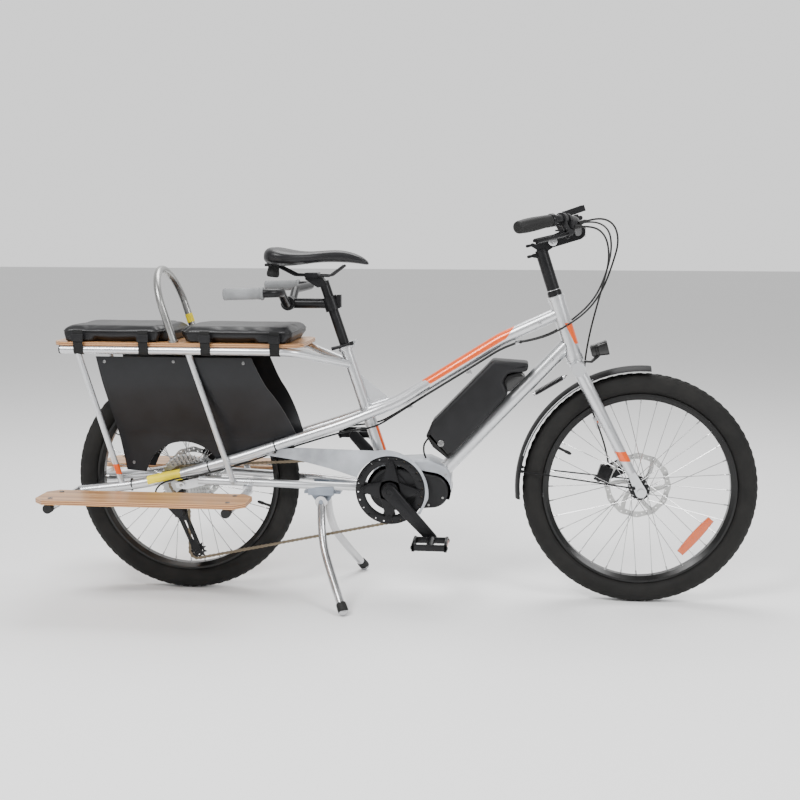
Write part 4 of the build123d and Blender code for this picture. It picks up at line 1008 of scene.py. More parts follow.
# ---- drive --------------------------------------------------------------
def toothed(centre, teeth, first=0.0):
    """Outline of a sprocket: rounded roots between pointed teeth."""
    pitch = pitch_radius(teeth)
    root, tip = pitch - 0.0043, pitch + 0.0028
    loop = []
    for tooth in range(teeth):
        start = first + 360 * tooth / teeth
        for share, radius in ((0.10, root + 0.0012), (0.24, root), (0.44, root), (0.58, root + 0.0012),
                              (0.72, tip - 0.0014), (0.80, tip), (0.88, tip), (0.96, tip - 0.0014)):
            loop.append(polar(centre, radius, start + 360 * share / teeth))
    return loop


def fan_window(centre, inner, outer, first, last, steps=8):
    """Opening between two radii and two angles."""
    loop = [polar(centre, outer, first + (last - first) * step / steps) for step in range(steps + 1)]
    loop += [polar(centre, inner, last + (first - last) * step / steps) for step in range(steps + 1)]
    return loop


def sprocket_cluster():
    """Eight sprockets and their lock ring."""
    pieces = []
    for count in range(8):
        teeth = 21 + round((5 - count) * 0.0056 * 2 * math.pi / CHAIN_PITCH)
        y = CHAIN_Y + (5 - count) * 0.0042
        root = pitch_radius(teeth) - 0.0043
        loops = [toothed(rear_axle, teeth)]
        if root > 0.040:
            for arm in range(5):
                start = 72 * arm + count * 9
                loops.append(fan_window(rear_axle, 0.0235, root - 0.0045, start, start + 50))
        pieces.append(flat_part("sprocket", loops, y - 0.0009, y + 0.0009))
    made = joined("sprockets", *pieces)
    finished(made, steel, "cassette", smooth_angle=25)
    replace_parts(made, "cassette")
    ring = lathe("cassette_lock_ring",
                 [(-0.0635, 0.010), (-0.0635, 0.0125), (-0.0605, 0.0160), (-0.058, 0.0170), (-0.030, 0.0210),
                  (-0.026, 0.0210), (-0.026, 0.0175)], centred(rear_axle), (0, 1, 0))
    finished(ring, black_alloy, "cassette")
    guard = lathe("spoke_protector",
                  [(-0.0228, 0.0335), (-0.0236, 0.0335), (-0.0240, 0.060), (-0.0246, 0.0705),
                   (-0.0236, 0.0705), (-0.0230, 0.060)], centred(rear_axle), (0, 1, 0), steps=64)
    finished(guard, lamp_glass, "rear_wheel")


sprocket_cluster()

RING_PITCH = pitch_radius(44)
ARM_ANGLE = -47.0
CRANK_LENGTH = 0.170
pedal_right_at = polar(bb, CRANK_LENGTH, ARM_ANGLE)
pedal_left_at = polar(bb, CRANK_LENGTH, ARM_ANGLE + 180)


def crank_arm(name, end, y_low, y_high):
    """Forged arm: tapered blade with a long hollow in its outer face."""
    outer = y_low if y_low < 0 else y_high
    blade = rounded_slab(name, link_loop(bb, 0.0205, end, 0.0145), y_low, y_high, 0.004)
    heading = Vector((end[0] - bb[0], end[1] - bb[1])).normalized()
    near = (bb[0] + heading.x * 0.034, bb[1] + heading.y * 0.034)
    far = (bb[0] + heading.x * 0.132, bb[1] + heading.y * 0.132)
    groove_low, groove_high = sorted((outer, outer + math.copysign(0.0006, outer)))
    rib = rounded_slab("rib", link_loop(near, 0.0065, far, 0.0045), groove_low, groove_high, 0.0003)
    cap = lathe("cap", [(0, 0.0125), (0.0016, 0.0125), (0.0022, 0.0110), (0.0022, 0.0070), (0.0004, 0.0062)],
                (bb[0], outer, bb[1]), (0, math.copysign(1, outer), 0))
    stub = lathe("stub", [(0, 0.0090), (0.006, 0.0090), (0.006, 0.006)],
                 (end[0], outer, end[1]), (0, math.copysign(1, outer), 0))
    return joined(name, blade, rib, cap, stub)


def cranks():
    """Chain wheel, its guard ring, both arms and the pedal axles."""
    windows = [fan_window(bb, 0.0465, RING_PITCH - 0.0185, ARM_ANGLE + 45 + 90 * arm + 14,
                          ARM_ANGLE + 45 + 90 * arm + 76, steps=12) for arm in range(4)]
    ring = flat_part("ring", [toothed(bb, 44, first=1.5)] + windows, CHAIN_Y - 0.0015, CHAIN_Y + 0.0015,
                     0.0002)
    holes = [circle(polar(bb, RING_PITCH - 0.002, 15 * count + 4), 0.0022, 10) for count in range(24)]
    guard = flat_part("guard", [circle(bb, RING_PITCH + 0.0049, 96),
                                circle(bb, RING_PITCH - 0.0165, 80)] + holes,
                      -0.0578, -0.0552, 0.0005)
    spider = []
    for arm in range(4):
        bolt = polar(bb, RING_PITCH - 0.0155, ARM_ANGLE + 45 + 90 * arm)
        spider.append(rounded_slab("spider", link_loop(bb, 0.030, bolt, 0.0085), -0.0635, -0.0580, 0.0018))
        spider.append(lathe("bolt", [(-0.0648, 0.0025), (-0.0655, 0.0030), (-0.0655, 0.0048),
                                     (-0.0635, 0.0052), (-0.0480, 0.0052)], centred(bolt), (0, 1, 0),
                            steps=14))
    hub = lathe("hub", [(-0.074, 0.021), (-0.071, 0.0235), (-0.060, 0.0240), (-0.052, 0.0330),
                        (-0.0477, 0.0340)],
                centred(bb), (0, 1, 0), steps=40)
    left_hub = lathe("hub", [(0.0582, 0.0150), (0.064, 0.0150), (0.066, 0.0120), (0.0745, 0.0120)],
                     centred(bb), (0, 1, 0))
    right = crank_arm("arm", pedal_right_at, -0.086, -0.074)
    left = crank_arm("arm", pedal_left_at, 0.074, 0.086)
    axles = [lathe("axle", [(0, 0.0055), (0.092, 0.0055)], (end[0], side * 0.088, end[1]), (0, side, 0),
                   steps=16)
             for end, side in ((pedal_right_at, -1), (pedal_left_at, 1))]
    made = joined("crankset_arms", ring, guard, *spider, hub, left_hub, right, left, *axles)
    finished(made, black_alloy, "crankset", smooth_angle=30)
    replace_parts(made, "crankset")


cranks()


def pedal(name, centre, side, body):
    """Platform pedal: two cage plates, a barrel, grip pins and reflectors."""
    inner, outer = 0.0965, 0.1835
    y_low, y_high = sorted((side * inner, side * outer))
    mid_y = (y_low + y_high) / 2
    pieces = []
    for end in (-1, 1):
        for edge in (-1, 1):
            pieces.append(block("bar", (centre[0] + end * 0.0425, mid_y, centre[1] + edge * 0.0085),
                                (0.0075, outer - inner, 0.0042), 0.0012))
        for y in (y_low + 0.003, mid_y, y_high - 0.003):
            pieces.append(block("post", (centre[0] + end * 0.0425, y, centre[1]), (0.0075, 0.006, 0.020),
                                0.0012))
    for y in (y_low + 0.003, y_high - 0.003):
        web = link_loop((centre[0] - 0.041, centre[1]), 0.0085, (centre[0] + 0.041, centre[1]), 0.0086,
                        steps=8)
        pieces.append(rounded_slab("side", web, y - 0.003, y + 0.003, 0.0012))
    barrel = lathe("barrel", [(0.0, 0.0105), (0.012, 0.0115), (0.040, 0.0095), (0.078, 0.0100),
                              (0.087, 0.0085), (0.0875, 0.004)], (centre[0], side * 0.0965, centre[1]),
                   (0, side, 0), steps=24)
    pins = [lathe("pin", [(-0.0125, 0.0008), (-0.012, 0.0012), (0.012, 0.0012), (0.0125, 0.0008)],
                  (centre[0] + end * 0.0425, mid_y + step * 0.0175, centre[1]), (0, 0, 1), steps=8)
            for end in (-1, 1) for step in (-2, -1, 1, 2)]
    made = joined(name, *pieces, barrel, *pins)
    finished(made, black_alloy, body)
    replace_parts(made, "pedal_right" if side < 0 else "pedal_left")
    lights = [block("strip", (centre[0] + end * 0.0468, mid_y + step * 0.021, centre[1]),
                    (0.0016, 0.030, 0.0100), 0.0006) for end in (-1, 1) for step in (-1, 1)]
    finished(joined(name + "_reflectors", *lights), amber, body)


pedal("pedal_right_platform", pedal_right_at, -1, "pedal_right")
pedal("pedal_left_platform", pedal_left_at, 1, "pedal_left")

# Wheels in the chain's travel order; a negative radius turns backwards.
upper_pulley = (middle("jockey_upper").x, middle("jockey_upper").z)
lower_pulley = (middle("jockey_lower").x, middle("jockey_lower").z)
CHAIN_WHEELS = [(bb, RING_PITCH), (lower_pulley, pitch_radius(11)), (upper_pulley, -pitch_radius(11)),
                (rear_axle, pitch_radius(21))]


def run_normal(wheel_a, wheel_b):
    """Angle from a wheel's centre to where the straight chain run leaves it."""
    (centre_a, radius_a), (centre_b, radius_b) = wheel_a, wheel_b
    across, up = centre_b[0] - centre_a[0], centre_b[1] - centre_a[1]
    lean_in = (radius_a - radius_b) / math.hypot(across, up)
    return math.degrees(math.atan2(up, across) + math.acos(lean_in))


def chain_line():
    """Closed line of the chain over its four wheels."""
    points = []
    for index, wheel in enumerate(CHAIN_WHEELS):
        after = CHAIN_WHEELS[(index + 1) % len(CHAIN_WHEELS)]
        arriving, leaving = run_normal(CHAIN_WHEELS[index - 1], wheel), run_normal(wheel, after)
        turn = (leaving - arriving) % 360 if wheel[1] < 0 else -((arriving - leaving) % 360)
        steps = max(6, int(abs(turn) / 6))
        for step in range(steps + 1):
            x, z = polar(wheel[0], wheel[1], arriving + turn * step / steps)
            points.append(Vector((x, CHAIN_Y, z)))
    return points


def chain_link(name, plate_y):
    """Two waisted side plates and the rollers at one end, lying along x about the origin."""
    half = CHAIN_PITCH / 2
    loop = []
    for step in range(9):
        loop.append(polar((half, 0), 0.0040, -90 + 180 * step / 8))
    loop.append((0, 0.0029))
    for step in range(9):
        loop.append(polar((-half, 0), 0.0040, 90 + 180 * step / 8))
    loop.append((0, -0.0029))
    pieces = [flat_part("plate", [loop], y - 0.00045, y + 0.00045) for y in (-plate_y, plate_y)]
    for end in (-half, half):
        pieces.append(lathe("roller", [(-0.0013, 0.0036), (0.0013, 0.0036)], (end, 0, 0), (0, 1, 0), steps=8))
        pieces.append(lathe("pin", [(-0.0029, 0.0014), (0.0029, 0.0014)], (end, 0, 0), (0, 1, 0), steps=6))
    return joined(name, *pieces)


def roller_chain():
    """Every link of the chain, inner and outer by turns."""
    points = chain_line()
    length = sum((b - a).length for a, b in zip(points, points[1:] + points[:1]))
    count = 2 * round(length / CHAIN_PITCH / 2)
    line = curve_object("drive_chain", points, closed=True)
    outer, inner = chain_link("outer_link", 0.0024), chain_link("inner_link", 0.0014)
    made = grown(line, "path", Count=count, Outer=outer, Inner=inner, Material=chain_bronze)
    for item in (outer, inner):
        bpy.data.objects.remove(item)
    finished(made, chain_bronze, "frame", smooth_angle=30)
    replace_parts(made, "chain")


roller_chain()


def guide_wheel(name, centre, body):
    """Toothed plastic guide wheel with its bush."""
    holes = [circle(polar(centre, 0.0118, 72 * count), 0.0026, 10) for count in range(5)]
    wheel = flat_part("wheel", [toothed(centre, 11), circle(centre, 0.0027, 16)] + holes, CHAIN_Y - 0.0011,
                      CHAIN_Y + 0.0011, 0.0002)
    bush = lathe("bush", [(CHAIN_Y - 0.0030, 0.0030), (CHAIN_Y - 0.0030, 0.0068), (CHAIN_Y + 0.0030, 0.0068),
                          (CHAIN_Y + 0.0030, 0.0030)], centred(centre), (0, 1, 0), steps=20)
    made = finished(joined(name, wheel, bush), black_plastic, body, smooth_angle=30)
    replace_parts(made, "jockey_upper" if "upper" in name else "jockey_lower")


guide_wheel("guide_wheel_upper", upper_pulley, "jockey_upper")
guide_wheel("guide_wheel_lower", lower_pulley, "jockey_lower")


def gear_mech():
    """Cage plates, the two parallel links, the knuckles and the pivot bolts."""
    pieces = []
    for low, high in ((CHAIN_Y - 0.0075, CHAIN_Y - 0.0055), (CHAIN_Y + 0.0055, CHAIN_Y + 0.0075)):
        loops = [link_loop(upper_pulley, 0.0128, lower_pulley, 0.0108)]
        run = Vector((lower_pulley[0] - upper_pulley[0], lower_pulley[1] - upper_pulley[1])).normalized()
        near = (upper_pulley[0] + run.x * 0.030, upper_pulley[1] + run.y * 0.030)
        far = (upper_pulley[0] + run.x * 0.084, upper_pulley[1] + run.y * 0.084)
        loops.append(link_loop(near, 0.0042, far, 0.0036, steps=8))
        pieces.append(flat_part("cage", loops, low, high, 0.0004))
    for centre in (upper_pulley, lower_pulley):
        pieces.append(lathe("pin", [(CHAIN_Y - 0.0092, 0.0022), (CHAIN_Y - 0.0092, 0.0040),
                                    (CHAIN_Y - 0.0078, 0.0046), (CHAIN_Y - 0.0076, 0.0024),
                                    (CHAIN_Y + 0.0080, 0.0024)],
                            centred(centre), (0, 1, 0), steps=16))
    knuckle, hanger = (-0.642, 0.252), (-0.612, 0.286)
    pieces.append(lathe("barrel", [(-0.0660, 0.008), (-0.0655, 0.0125), (-0.058, 0.0135), (-0.056, 0.0100)],
                        centred(upper_pulley), (0, 1, 0), steps=28))
    pieces.append(rounded_slab("arm", link_loop(upper_pulley, 0.0138, knuckle, 0.0145), -0.0755, -0.0625,
                               0.0035))
    pieces.append(rounded_slab("arm", link_loop(knuckle, 0.0128, hanger, 0.0080), -0.0760, -0.0672, 0.0025))
    pieces.append(lathe("cap", [(-0.0795, 0.0040), (-0.0795, 0.0080), (-0.0770, 0.0098), (-0.0745, 0.0100)],
                        centred(knuckle), (0, 1, 0), steps=24))
    made = joined("gear_mech", *pieces)
    finished(made, black_alloy, "frame", smooth_angle=30)
    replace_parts(made, "derailleur")


gear_mech()


def motor_details():
    """Cover shell over the motor, its screws and the ring round the axle."""
    upper = [(-0.092, 0.318), (-0.072, 0.362), (-0.050, 0.380), (0.005, 0.383), (0.066, 0.386),
             (0.112, 0.366), (0.126, 0.340), (0.124, 0.284)]
    nose = (0.074, 0.299)
    lower = [polar(nose, 0.0462, 341 - 360 + step * 12) for step in range(9)]
    lower += [polar(bb, 0.0602, 84 + step * 10) for step in range(9)]
    loop = rounded_loop(upper, 0.012) + lower
    shell = rounded_slab("motor_shell", loop, -0.0398, 0.0518, 0.006)
    finished(shell, guard_silver, "frame")
    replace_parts(shell, "motor_cover")
    places = []
    for x, z in ((-0.074, 0.338), (0.112, 0.345), (0.104, 0.283), (0.066, 0.262)):
        places.append(((x, -0.0402 if z > 0.33 else -0.0442, z), (0, -1, 0)))
        places.append(((x, 0.0520 if z > 0.33 else 0.0582, z), (0, 1, 0)))
    screws = at_places("motor_screws", socket_screw(0.0036), places, steel)
    finished(screws, steel, "frame")
    ring = lathe("axle_ring", [(0.0578, 0.040), (0.0592, 0.040), (0.0596, 0.034), (0.0592, 0.020),
                               (0.0585, 0.018)],
                 centred(bb), (0, 1, 0), steps=48)
    finished(ring, gloss_black, "frame")


def socket_screw(radius):
    """Button head standing on the origin, with its socket."""
    return lathe("screw_item", [(-0.001, radius), (0.0006, radius), (0.0016, radius * 0.86),
                                (0.0020, radius * 0.5), (0.0010, radius * 0.46), (0.0008, radius * 0.1)],
                 (0, 0, 0), (0, 0, 1), steps=12)


motor_details()


def battery_case():
    """Battery on the down tube: domed case, lower cap, cradle behind the grip recess, lock."""
    outline = [(0.234, 0.658), (0.330, 0.652), (0.327, 0.629), (0.276, 0.624), (0.262, 0.601), (0.277, 0.568),
               (0.118, 0.387), (0.076, 0.420), (0.057, 0.450), (0.073, 0.489)]
    case = rounded_slab("battery_case", rounded_loop(outline, 0.016), -0.0448, 0.0448, 0.010, steps=6)
    finished(case, black_plastic, "frame", smooth_angle=25)
    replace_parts(case, "battery")
    cap_outline = [(0.137, 0.407), (0.118, 0.387), (0.076, 0.420), (0.057, 0.450), (0.063, 0.466),
                   (0.088, 0.446)]
    cap = rounded_slab("battery_cap", rounded_loop(cap_outline, 0.008), -0.0452, 0.0452, 0.010, steps=5)
    finished(cap, soft_black, "frame", smooth_angle=25)
    cradle_outline = [(0.309, 0.631), (0.270, 0.617), (0.258, 0.600), (0.268, 0.572), (0.283, 0.574),
                      (0.322, 0.616)]
    cradle = rounded_slab("battery_cradle", rounded_loop(cradle_outline, 0.006), -0.031, 0.031, 0.006)
    finished(cradle, gloss_black, "frame")
    lock = lathe("battery_lock", [(0, 0.009), (0.002, 0.009), (0.003, 0.0075), (0.003, 0.003),
                                  (0.001, 0.0028)],
                 (0.098, -0.0446, 0.432), (0, -1, 0))
    finished(lock, dark_alloy, "frame")


battery_case()


def caliper_details(name, wheel, y, disc_radius, degrees, half, body, node, tab=None):
    """Disc brake caliper: two halves, bridge, piston caps, hose fitting and bolts."""
    turn = math.radians(degrees)
    outward = Vector((math.cos(turn), 0, math.sin(turn)))
    onward = Vector((-math.sin(turn), 0, math.cos(turn)))
    middle_x, middle_z = polar(wheel, disc_radius + 0.006, degrees)
    turned = Matrix((outward, (0, 1, 0), onward)).transposed()

    def at(radial, across, tangential):
        return Vector((middle_x, y + across, middle_z)) + outward * radial + onward * tangential

    parts = [block("bridge", at(0.0105, 0, 0), (0.013, 0.0215, half * 1.25), 0.0025, turned)]
    for side in BOTH_SIDES:
        parts.append(block("half", at(-0.001, side * 0.0072, 0), (0.036, 0.0086, half * 1.7), 0.003, turned))
        parts.append(lathe("cap", [(0, 0.0125), (0.0014, 0.0125), (0.0020, 0.0105), (0.0014, 0.0070),
                                   (0.0014, 0.0020)], at(-0.004, side * 0.0104, 0), (0, side, 0), steps=24))
        parts.append(lathe("lug", [(0, 0.0062), (0.0010, 0.0068), (0.0065, 0.0068), (0.0075, 0.0058)],
                           at(0.0085, 0, side * half * 0.74), (0, -1, 0), steps=20))
    fitting = lathe("fitting", [(0, 0.0052), (0.006, 0.0052), (0.007, 0.0040), (0.011, 0.0034)],
                    at(0.014, 0.004, half * 0.55), onward + outward * 0.5, steps=14)
    made = finished(joined(name, *parts, fitting), black_alloy, body)
    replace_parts(made, node)
    screws = [(at(0.0085, -0.0068, side * half * 0.74), (0, -1, 0)) for side in BOTH_SIDES]
    finished(at_places(name + "_screws", socket_screw(0.0042), screws, polished), polished, body)
    if tab:
        holes = [circle(tab[0], 0.0028, 12), circle(tab[2], 0.0028, 12)]
        plate = flat_part(name + "_mount", [rounded_loop(tab[1], 0.006), *holes], y + 0.0042, y + 0.0078)
        finished(plate, black_alloy, body)


FRONT_TAB = ((0.552, 0.345), [(0.536, 0.362), (0.556, 0.326), (0.612, 0.352), (0.596, 0.392)], (0.596, 0.372))
caliper_details("front_brake_caliper", front_axle, FRONT_ROTOR_Y, FRONT_DISC_RADIUS, 162, 0.026, "fork",
                "front_caliper", FRONT_TAB)
caliper_details("rear_brake_caliper", rear_axle, REAR_ROTOR_Y, REAR_DISC_RADIUS, 52, 0.024, "frame",
                "rear_caliper")


# ---- side panels --------------------------------------------------------
def side_panels():
    """Bowed plastic panel on each side of the rear wheel, open round the hub."""
    bow = centreline([(0.1065, 0, 0.664), (0.100, 0, 0.600), (0.084, 0, 0.551), (0.062, 0, 0.481),
                      (0.043, 0, 0.434), (0.042, 0, 0.330)])

    def bowed(height):
        for upper, lower in zip(bow, bow[1:]):
            if lower.z <= height:
                return lower.x + (upper.x - lower.x) * (height - lower.z) / (upper.z - lower.z)
        return bow[-1].x

    front_edge = [(-0.404, 0.662), (-0.375, 0.592), (-0.342, 0.551), (-0.306, 0.481), (-0.291, 0.437)]
    hub_gap = [polar(rear_axle, 0.110, degrees) for degrees in range(36, 166, 5)]
    swept = [(point.x, point.z) for point in centreline([(x, 0, z) for x, z in front_edge])]
    outline = [(-0.829, 0.662), *swept, (-0.433, 0.392), (-0.520, 0.3695), *hub_gap, (-0.718, 0.3375),
               (-0.772, 0.341)]
    for side in BOTH_SIDES:
        panel = flat_part("side_panel" + hand(side),
                          [outline], -0.0011, 0.0011)
        work = bmesh.new()
        work.from_mesh(panel.data)
        for step in range(1, 34):
            bmesh.ops.bisect_plane(work, geom=work.verts[:] + work.edges[:] + work.faces[:],
                                   plane_co=(0, 0, 0.330 + step * 0.010), plane_no=(0, 0, 1))
        for vertex in work.verts:
            vertex.co.y += side * bowed(vertex.co.z)
        work.to_mesh(panel.data)
        work.free()
        finished(panel, panel_black, "frame")
        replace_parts(panel, "skirts")
        corners = [(-0.806, 0.648), (-0.426, 0.648), (-0.616, 0.650), (-0.752, 0.362)]
        rivets = [((x, side * (bowed(z) + 0.0012), z), (0, side, 0)) for x, z in corners]
        heads = at_places("side_panel_rivets" + hand(side),
                          lathe("rivet", [(0, 0.0045), (0.0008, 0.0042), (0.0016, 0.0020), (0.0018, 0.0004)],
                                (0, 0, 0), (0, 0, 1), steps=12), rivets, dark_alloy)
        finished(heads, dark_alloy, "frame")


side_panels()

# ---- passenger seats ----------------------------------------------------
hoop_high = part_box("hoop_rail")[1]
SEAT_BASE = deck_high.z + 0.0004
HOOP_X = hoop_high.x - 0.010
PAD_GAP = 0.003
HOOP_Y = hoop_high.y - 0.014


def upright_slab(name, plan, z_low, z_high, edge):
    """Block from a plan outline (x, y), with rounded edges."""
    made = rounded_slab(name, plan, z_low, z_high, edge, steps=4)
    lay_down = Matrix(((1, 0, 0, 0), (0, 0, 1, 0), (0, 1, 0, 0), (0, 0, 0, 1)))
    made.data.transform(lay_down)
    work = bmesh.new()
    work.from_mesh(made.data)
    bmesh.ops.recalc_face_normals(work, faces=work.faces)
    work.to_mesh(made.data)
    work.free()
    return made


def cushion_plan(rear, front, hoop_end, half_width, notch):
    """Plan outline of one pad, with a notch for each leg of the hoop."""
    inner = HOOP_Y - 0.022
    other = front if hoop_end == rear else rear
    into = notch if hoop_end == rear else -notch
    points = [(other, -half_width), (other, half_width), (hoop_end + into, half_width),
              (hoop_end + into, inner), (hoop_end, inner), (hoop_end, -inner), (hoop_end + into, -inner),
              (hoop_end + into, -half_width)]
    return rounded_loop(points, 0.022)


def inflate(pad, reach):
    """Swell a pad as stuffed cloth, then keep every point within reach and inside its space."""
    before = [vertex.co.copy() for vertex in pad.data.vertices]
    cloth = pad.modifiers.new("cloth", "CLOTH")
    cloth.settings.use_pressure = True
    cloth.settings.uniform_pressure_force = 4
    cloth.settings.quality = 4
    cloth.settings.effector_weights.gravity = 0
    cloth.point_cache.frame_start = 1
    cloth.point_cache.frame_end = 20
    for step in range(1, 21):
        bpy.context.scene.frame_set(step)
    pad = as_mesh(pad)
    bpy.context.scene.frame_set(1)
    for vertex, old in zip(pad.data.vertices, before):
        move = vertex.co - old
        if move.length > reach:
            vertex.co = old + move.normalized() * reach
        vertex.co.z = max(vertex.co.z, SEAT_BASE)
    return pad


def seat_pad(name, hoop_end):
    """Crowned vinyl pad: swollen block, a seam round its top, stitches beside it."""
    low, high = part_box("cushions")
    if hoop_end == "front":
        rear, front = low.x + 0.003, HOOP_X - PAD_GAP / 2 - 0.003
    else:
        rear, front = HOOP_X + PAD_GAP / 2 + 0.003, high.x - 0.003
    end = rear if hoop_end == "rear" else front
    notch = 0.033 if hoop_end == "front" else 0.019
    half_width = high.y - 0.004
    plan = cushion_plan(rear, front, end, half_width, notch)
    body = upright_slab("body", plan, SEAT_BASE + 0.0105, high.z - 0.006, 0.009)
    narrow = cushion_plan(rear + 0.008, front - 0.008, end + (0.008 if end == rear else -0.008),
                          half_width - 0.020, notch)
    core = upright_slab("core", narrow, SEAT_BASE, SEAT_BASE + 0.022, 0.003)
    pieces = [body, core]
    length = front - rear
    for share_low, share_high in ((0.02, 0.29), (0.68, 0.96)):
        x_low, x_high = rear + length * share_low, rear + length * share_high
        if hoop_end == "front":
            x_high = min(x_high, front - notch - 0.006)
        else:
            x_low = max(x_low, rear + notch + 0.006)
        for side in BOTH_SIDES:
            y_low, y_high = sorted((side * (half_width - 0.040), side * (half_width - 0.001)))
            foot = rounded_loop([(x_low, y_low), (x_high, y_low), (x_high, y_high), (x_low, y_high)], 0.010)
            pieces.append(upright_slab("foot", foot, SEAT_BASE, SEAT_BASE + 0.024, 0.004))
    pad = joined(name, *pieces)
    remesh = pad.modifiers.new("blend", "REMESH")
    remesh.mode = "VOXEL"
    remesh.voxel_size = 0.0048
    pad = as_mesh(pad)
    pad = inflate(pad, 0.007)
    smooth = pad.modifiers.new("ease", "SMOOTH")
    smooth.factor = 0.5
    smooth.iterations = 5
    finer = pad.modifiers.new("finer", "SUBSURF")
    finer.levels = finer.render_levels = 1
    pad = as_mesh(pad)
    for vertex in pad.data.vertices:
        vertex.co.z = max(vertex.co.z, SEAT_BASE)
    finished(pad, seat_vinyl, "frame", smooth_angle=180)
    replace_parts(pad, "cushions")
    surface = BVHTree.FromObject(pad, bpy.context.evaluated_depsgraph_get())
    seam_height = high.z - 0.012
    seam = []
    for x, y in inset(plan, -0.006):
        place, normal, _, _ = surface.find_nearest(Vector((x, y, seam_height)))
        seam.append(place + normal * 0.0004)
    piping = tube(name + "_piping", seam, 0.0016, closed=True, sides=3)
    finished(piping, seat_vinyl, "frame", smooth_angle=180)
    stitches = []
    above = [surface.find_nearest(Vector((x, y, seam_height + 0.004)))[:2] for x, y in inset(plan, -0.002)]
    for (place, normal), (after, _) in zip(above, above[1:] + above[:1]):
        gap = (after - place).length
        for step in range(int(gap / 0.007)):
            spot = place.lerp(after, (step + 0.5) / (gap / 0.007))
            spot, facing, _, _ = surface.find_nearest(spot)
            stitches.append((spot + facing * 0.0002, (after - place).normalized()))
    thread = lathe("stitch_item", [(-0.0021, 0.0002), (-0.0015, 0.0005), (0.0015, 0.0005), (0.0021, 0.0002)],
                   (0, 0, 0), (0, 0, 1), steps=5)
    sewn = at_places(name + "_stitches", thread, stitches, dark_alloy)
    finished(sewn, grip_grey, "frame", smooth_angle=180)


seat_pad("seat_pad_rear", "front")
seat_pad("seat_pad_front", "rear")


def seat_straps():
    """Webbing straps from each pad round the rails, with their buckles."""
    around_rail = 0.0118
    for number, x in enumerate((-0.868, -0.690, -0.522, -0.336)):
        for side in BOTH_SIDES:
            path = [(RAIL_Y + 0.0135, 0.7345), (RAIL_Y + 0.0145, 0.724), (RAIL_Y + 0.0142, 0.706)]
            path += [(RAIL_Y + around_rail * math.cos(math.radians(angle)),
                      RAIL_Z + around_rail * math.sin(math.radians(angle))) for angle in range(0, -200, -20)]
            path += [(RAIL_Y - 0.0126, 0.6885), (RAIL_Y - 0.0150, 0.6911)]
            name = "seat_strap_" + str(number) + hand(side)
            strap = ribbon(name, [(side * y, z) for y, z in path], x, 0.026, 0.0016)
            finished(strap, webbing, "frame", smooth_angle=50)
            buckle = block(name + "_buckle", (x, side * (RAIL_Y + 0.0158), 0.714), (0.031, 0.0040, 0.020),
                           0.0012)
            finished(buckle, black_plastic, "frame")


seat_straps()


# ---- saddle -------------------------------------------------------------
def saddle_shell():
    """Saddle skinned over sections from tail to nose, its skirt tucked under."""
    stations = [(-0.3855, 0.020, 0.9350, 0.9200), (-0.3800, 0.050, 0.9480, 0.9120),
                (-0.366, 0.072, 0.9560, 0.9060), (-0.345, 0.083, 0.9545, 0.9030),
                (-0.318, 0.083, 0.9485, 0.9030), (-0.290, 0.072, 0.9440, 0.9060),
                (-0.262, 0.056, 0.9430, 0.9100), (-0.235, 0.042, 0.9450, 0.9130),
                (-0.205, 0.033, 0.9475, 0.9140), (-0.175, 0.0275, 0.9475, 0.9140),
                (-0.145, 0.0235, 0.9410, 0.9120), (-0.120, 0.0195, 0.9300, 0.9090),
                (-0.1065, 0.0140, 0.9195, 0.9070), (-0.1025, 0.0070, 0.9130, 0.9085)]
    around_section = 28
    vertices, faces = [], []
    for x, half, top, bottom in stations:
        middle_z = bottom + (top - bottom) * 0.52
        for step in range(around_section):
            turn = 2 * math.pi * step / around_section
            y = half * math.copysign(abs(math.cos(turn)) ** 0.8, math.cos(turn))
            rise = math.sin(turn)
            if rise > 0:
                z = middle_z + (top - middle_z) * rise ** 0.75 - 0.0035 * (1 - min(1, abs(y) / 0.014)) ** 2
            else:
                z = middle_z - (middle_z - bottom) * abs(rise) ** 0.6
                y *= 1 - 0.10 * abs(rise)
            vertices.append((x, y, z))
    count = len(stations)
    for ring in range(count - 1):
        for step in range(around_section):
            a, b = ring * around_section + step, ring * around_section + (step + 1) % around_section
            faces.append((a, b, b + around_section, a + around_section))
    faces.append(tuple(range(around_section)))
    faces.append(tuple(range((count - 1) * around_section, count * around_section)))
    shell = mesh_object("saddle_shell", vertices, faces)
    smoother = shell.modifiers.new("smoother", "SUBSURF")
    smoother.levels = smoother.render_levels = 2
    shell = as_mesh(shell)
    finished(shell, saddle_vinyl, "seat", smooth_angle=180)
    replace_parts(shell, "saddle")
    surface = BVHTree.FromObject(shell, bpy.context.evaluated_depsgraph_get())
    for side in BOTH_SIDES:
        line = []
        for x, half, top, bottom in stations[1:-2]:
            place, normal, _, _ = surface.find_nearest(Vector((x, side * half * 1.02,
                                                               bottom + (top - bottom) * 0.42)))
            line.append(place + normal * 0.0002)
        seam = tube("saddle_seam" + hand(side), line, 0.0011, sides=2)
        finished(seam, saddle_vinyl, "seat", smooth_angle=180)
    bumper = lathe("saddle_bumper", [(0, 0.0135), (0.003, 0.0165), (0.010, 0.0175), (0.018, 0.0160),
                                     (0.026, 0.0150), (0.036, 0.0140)], (-0.3655, 0, 0.8735), (0.12, 0, 1),
                   steps=24)
    finished(bumper, soft_black, "seat")
    lift = block("saddle_lift_handle", (-0.372, 0, 0.9065), (0.020, 0.060, 0.008), 0.003)
    finished(lift, black_plastic, "seat")


saddle_shell()

# ---- grips --------------------------------------------------------------
GRIP_END = Vector((0.297, -0.300, 1.007))
GRIP_START = Vector((0.391, -0.225, 1.028))
BAR_CLAMP = Vector((0.450, 0, 0.997))


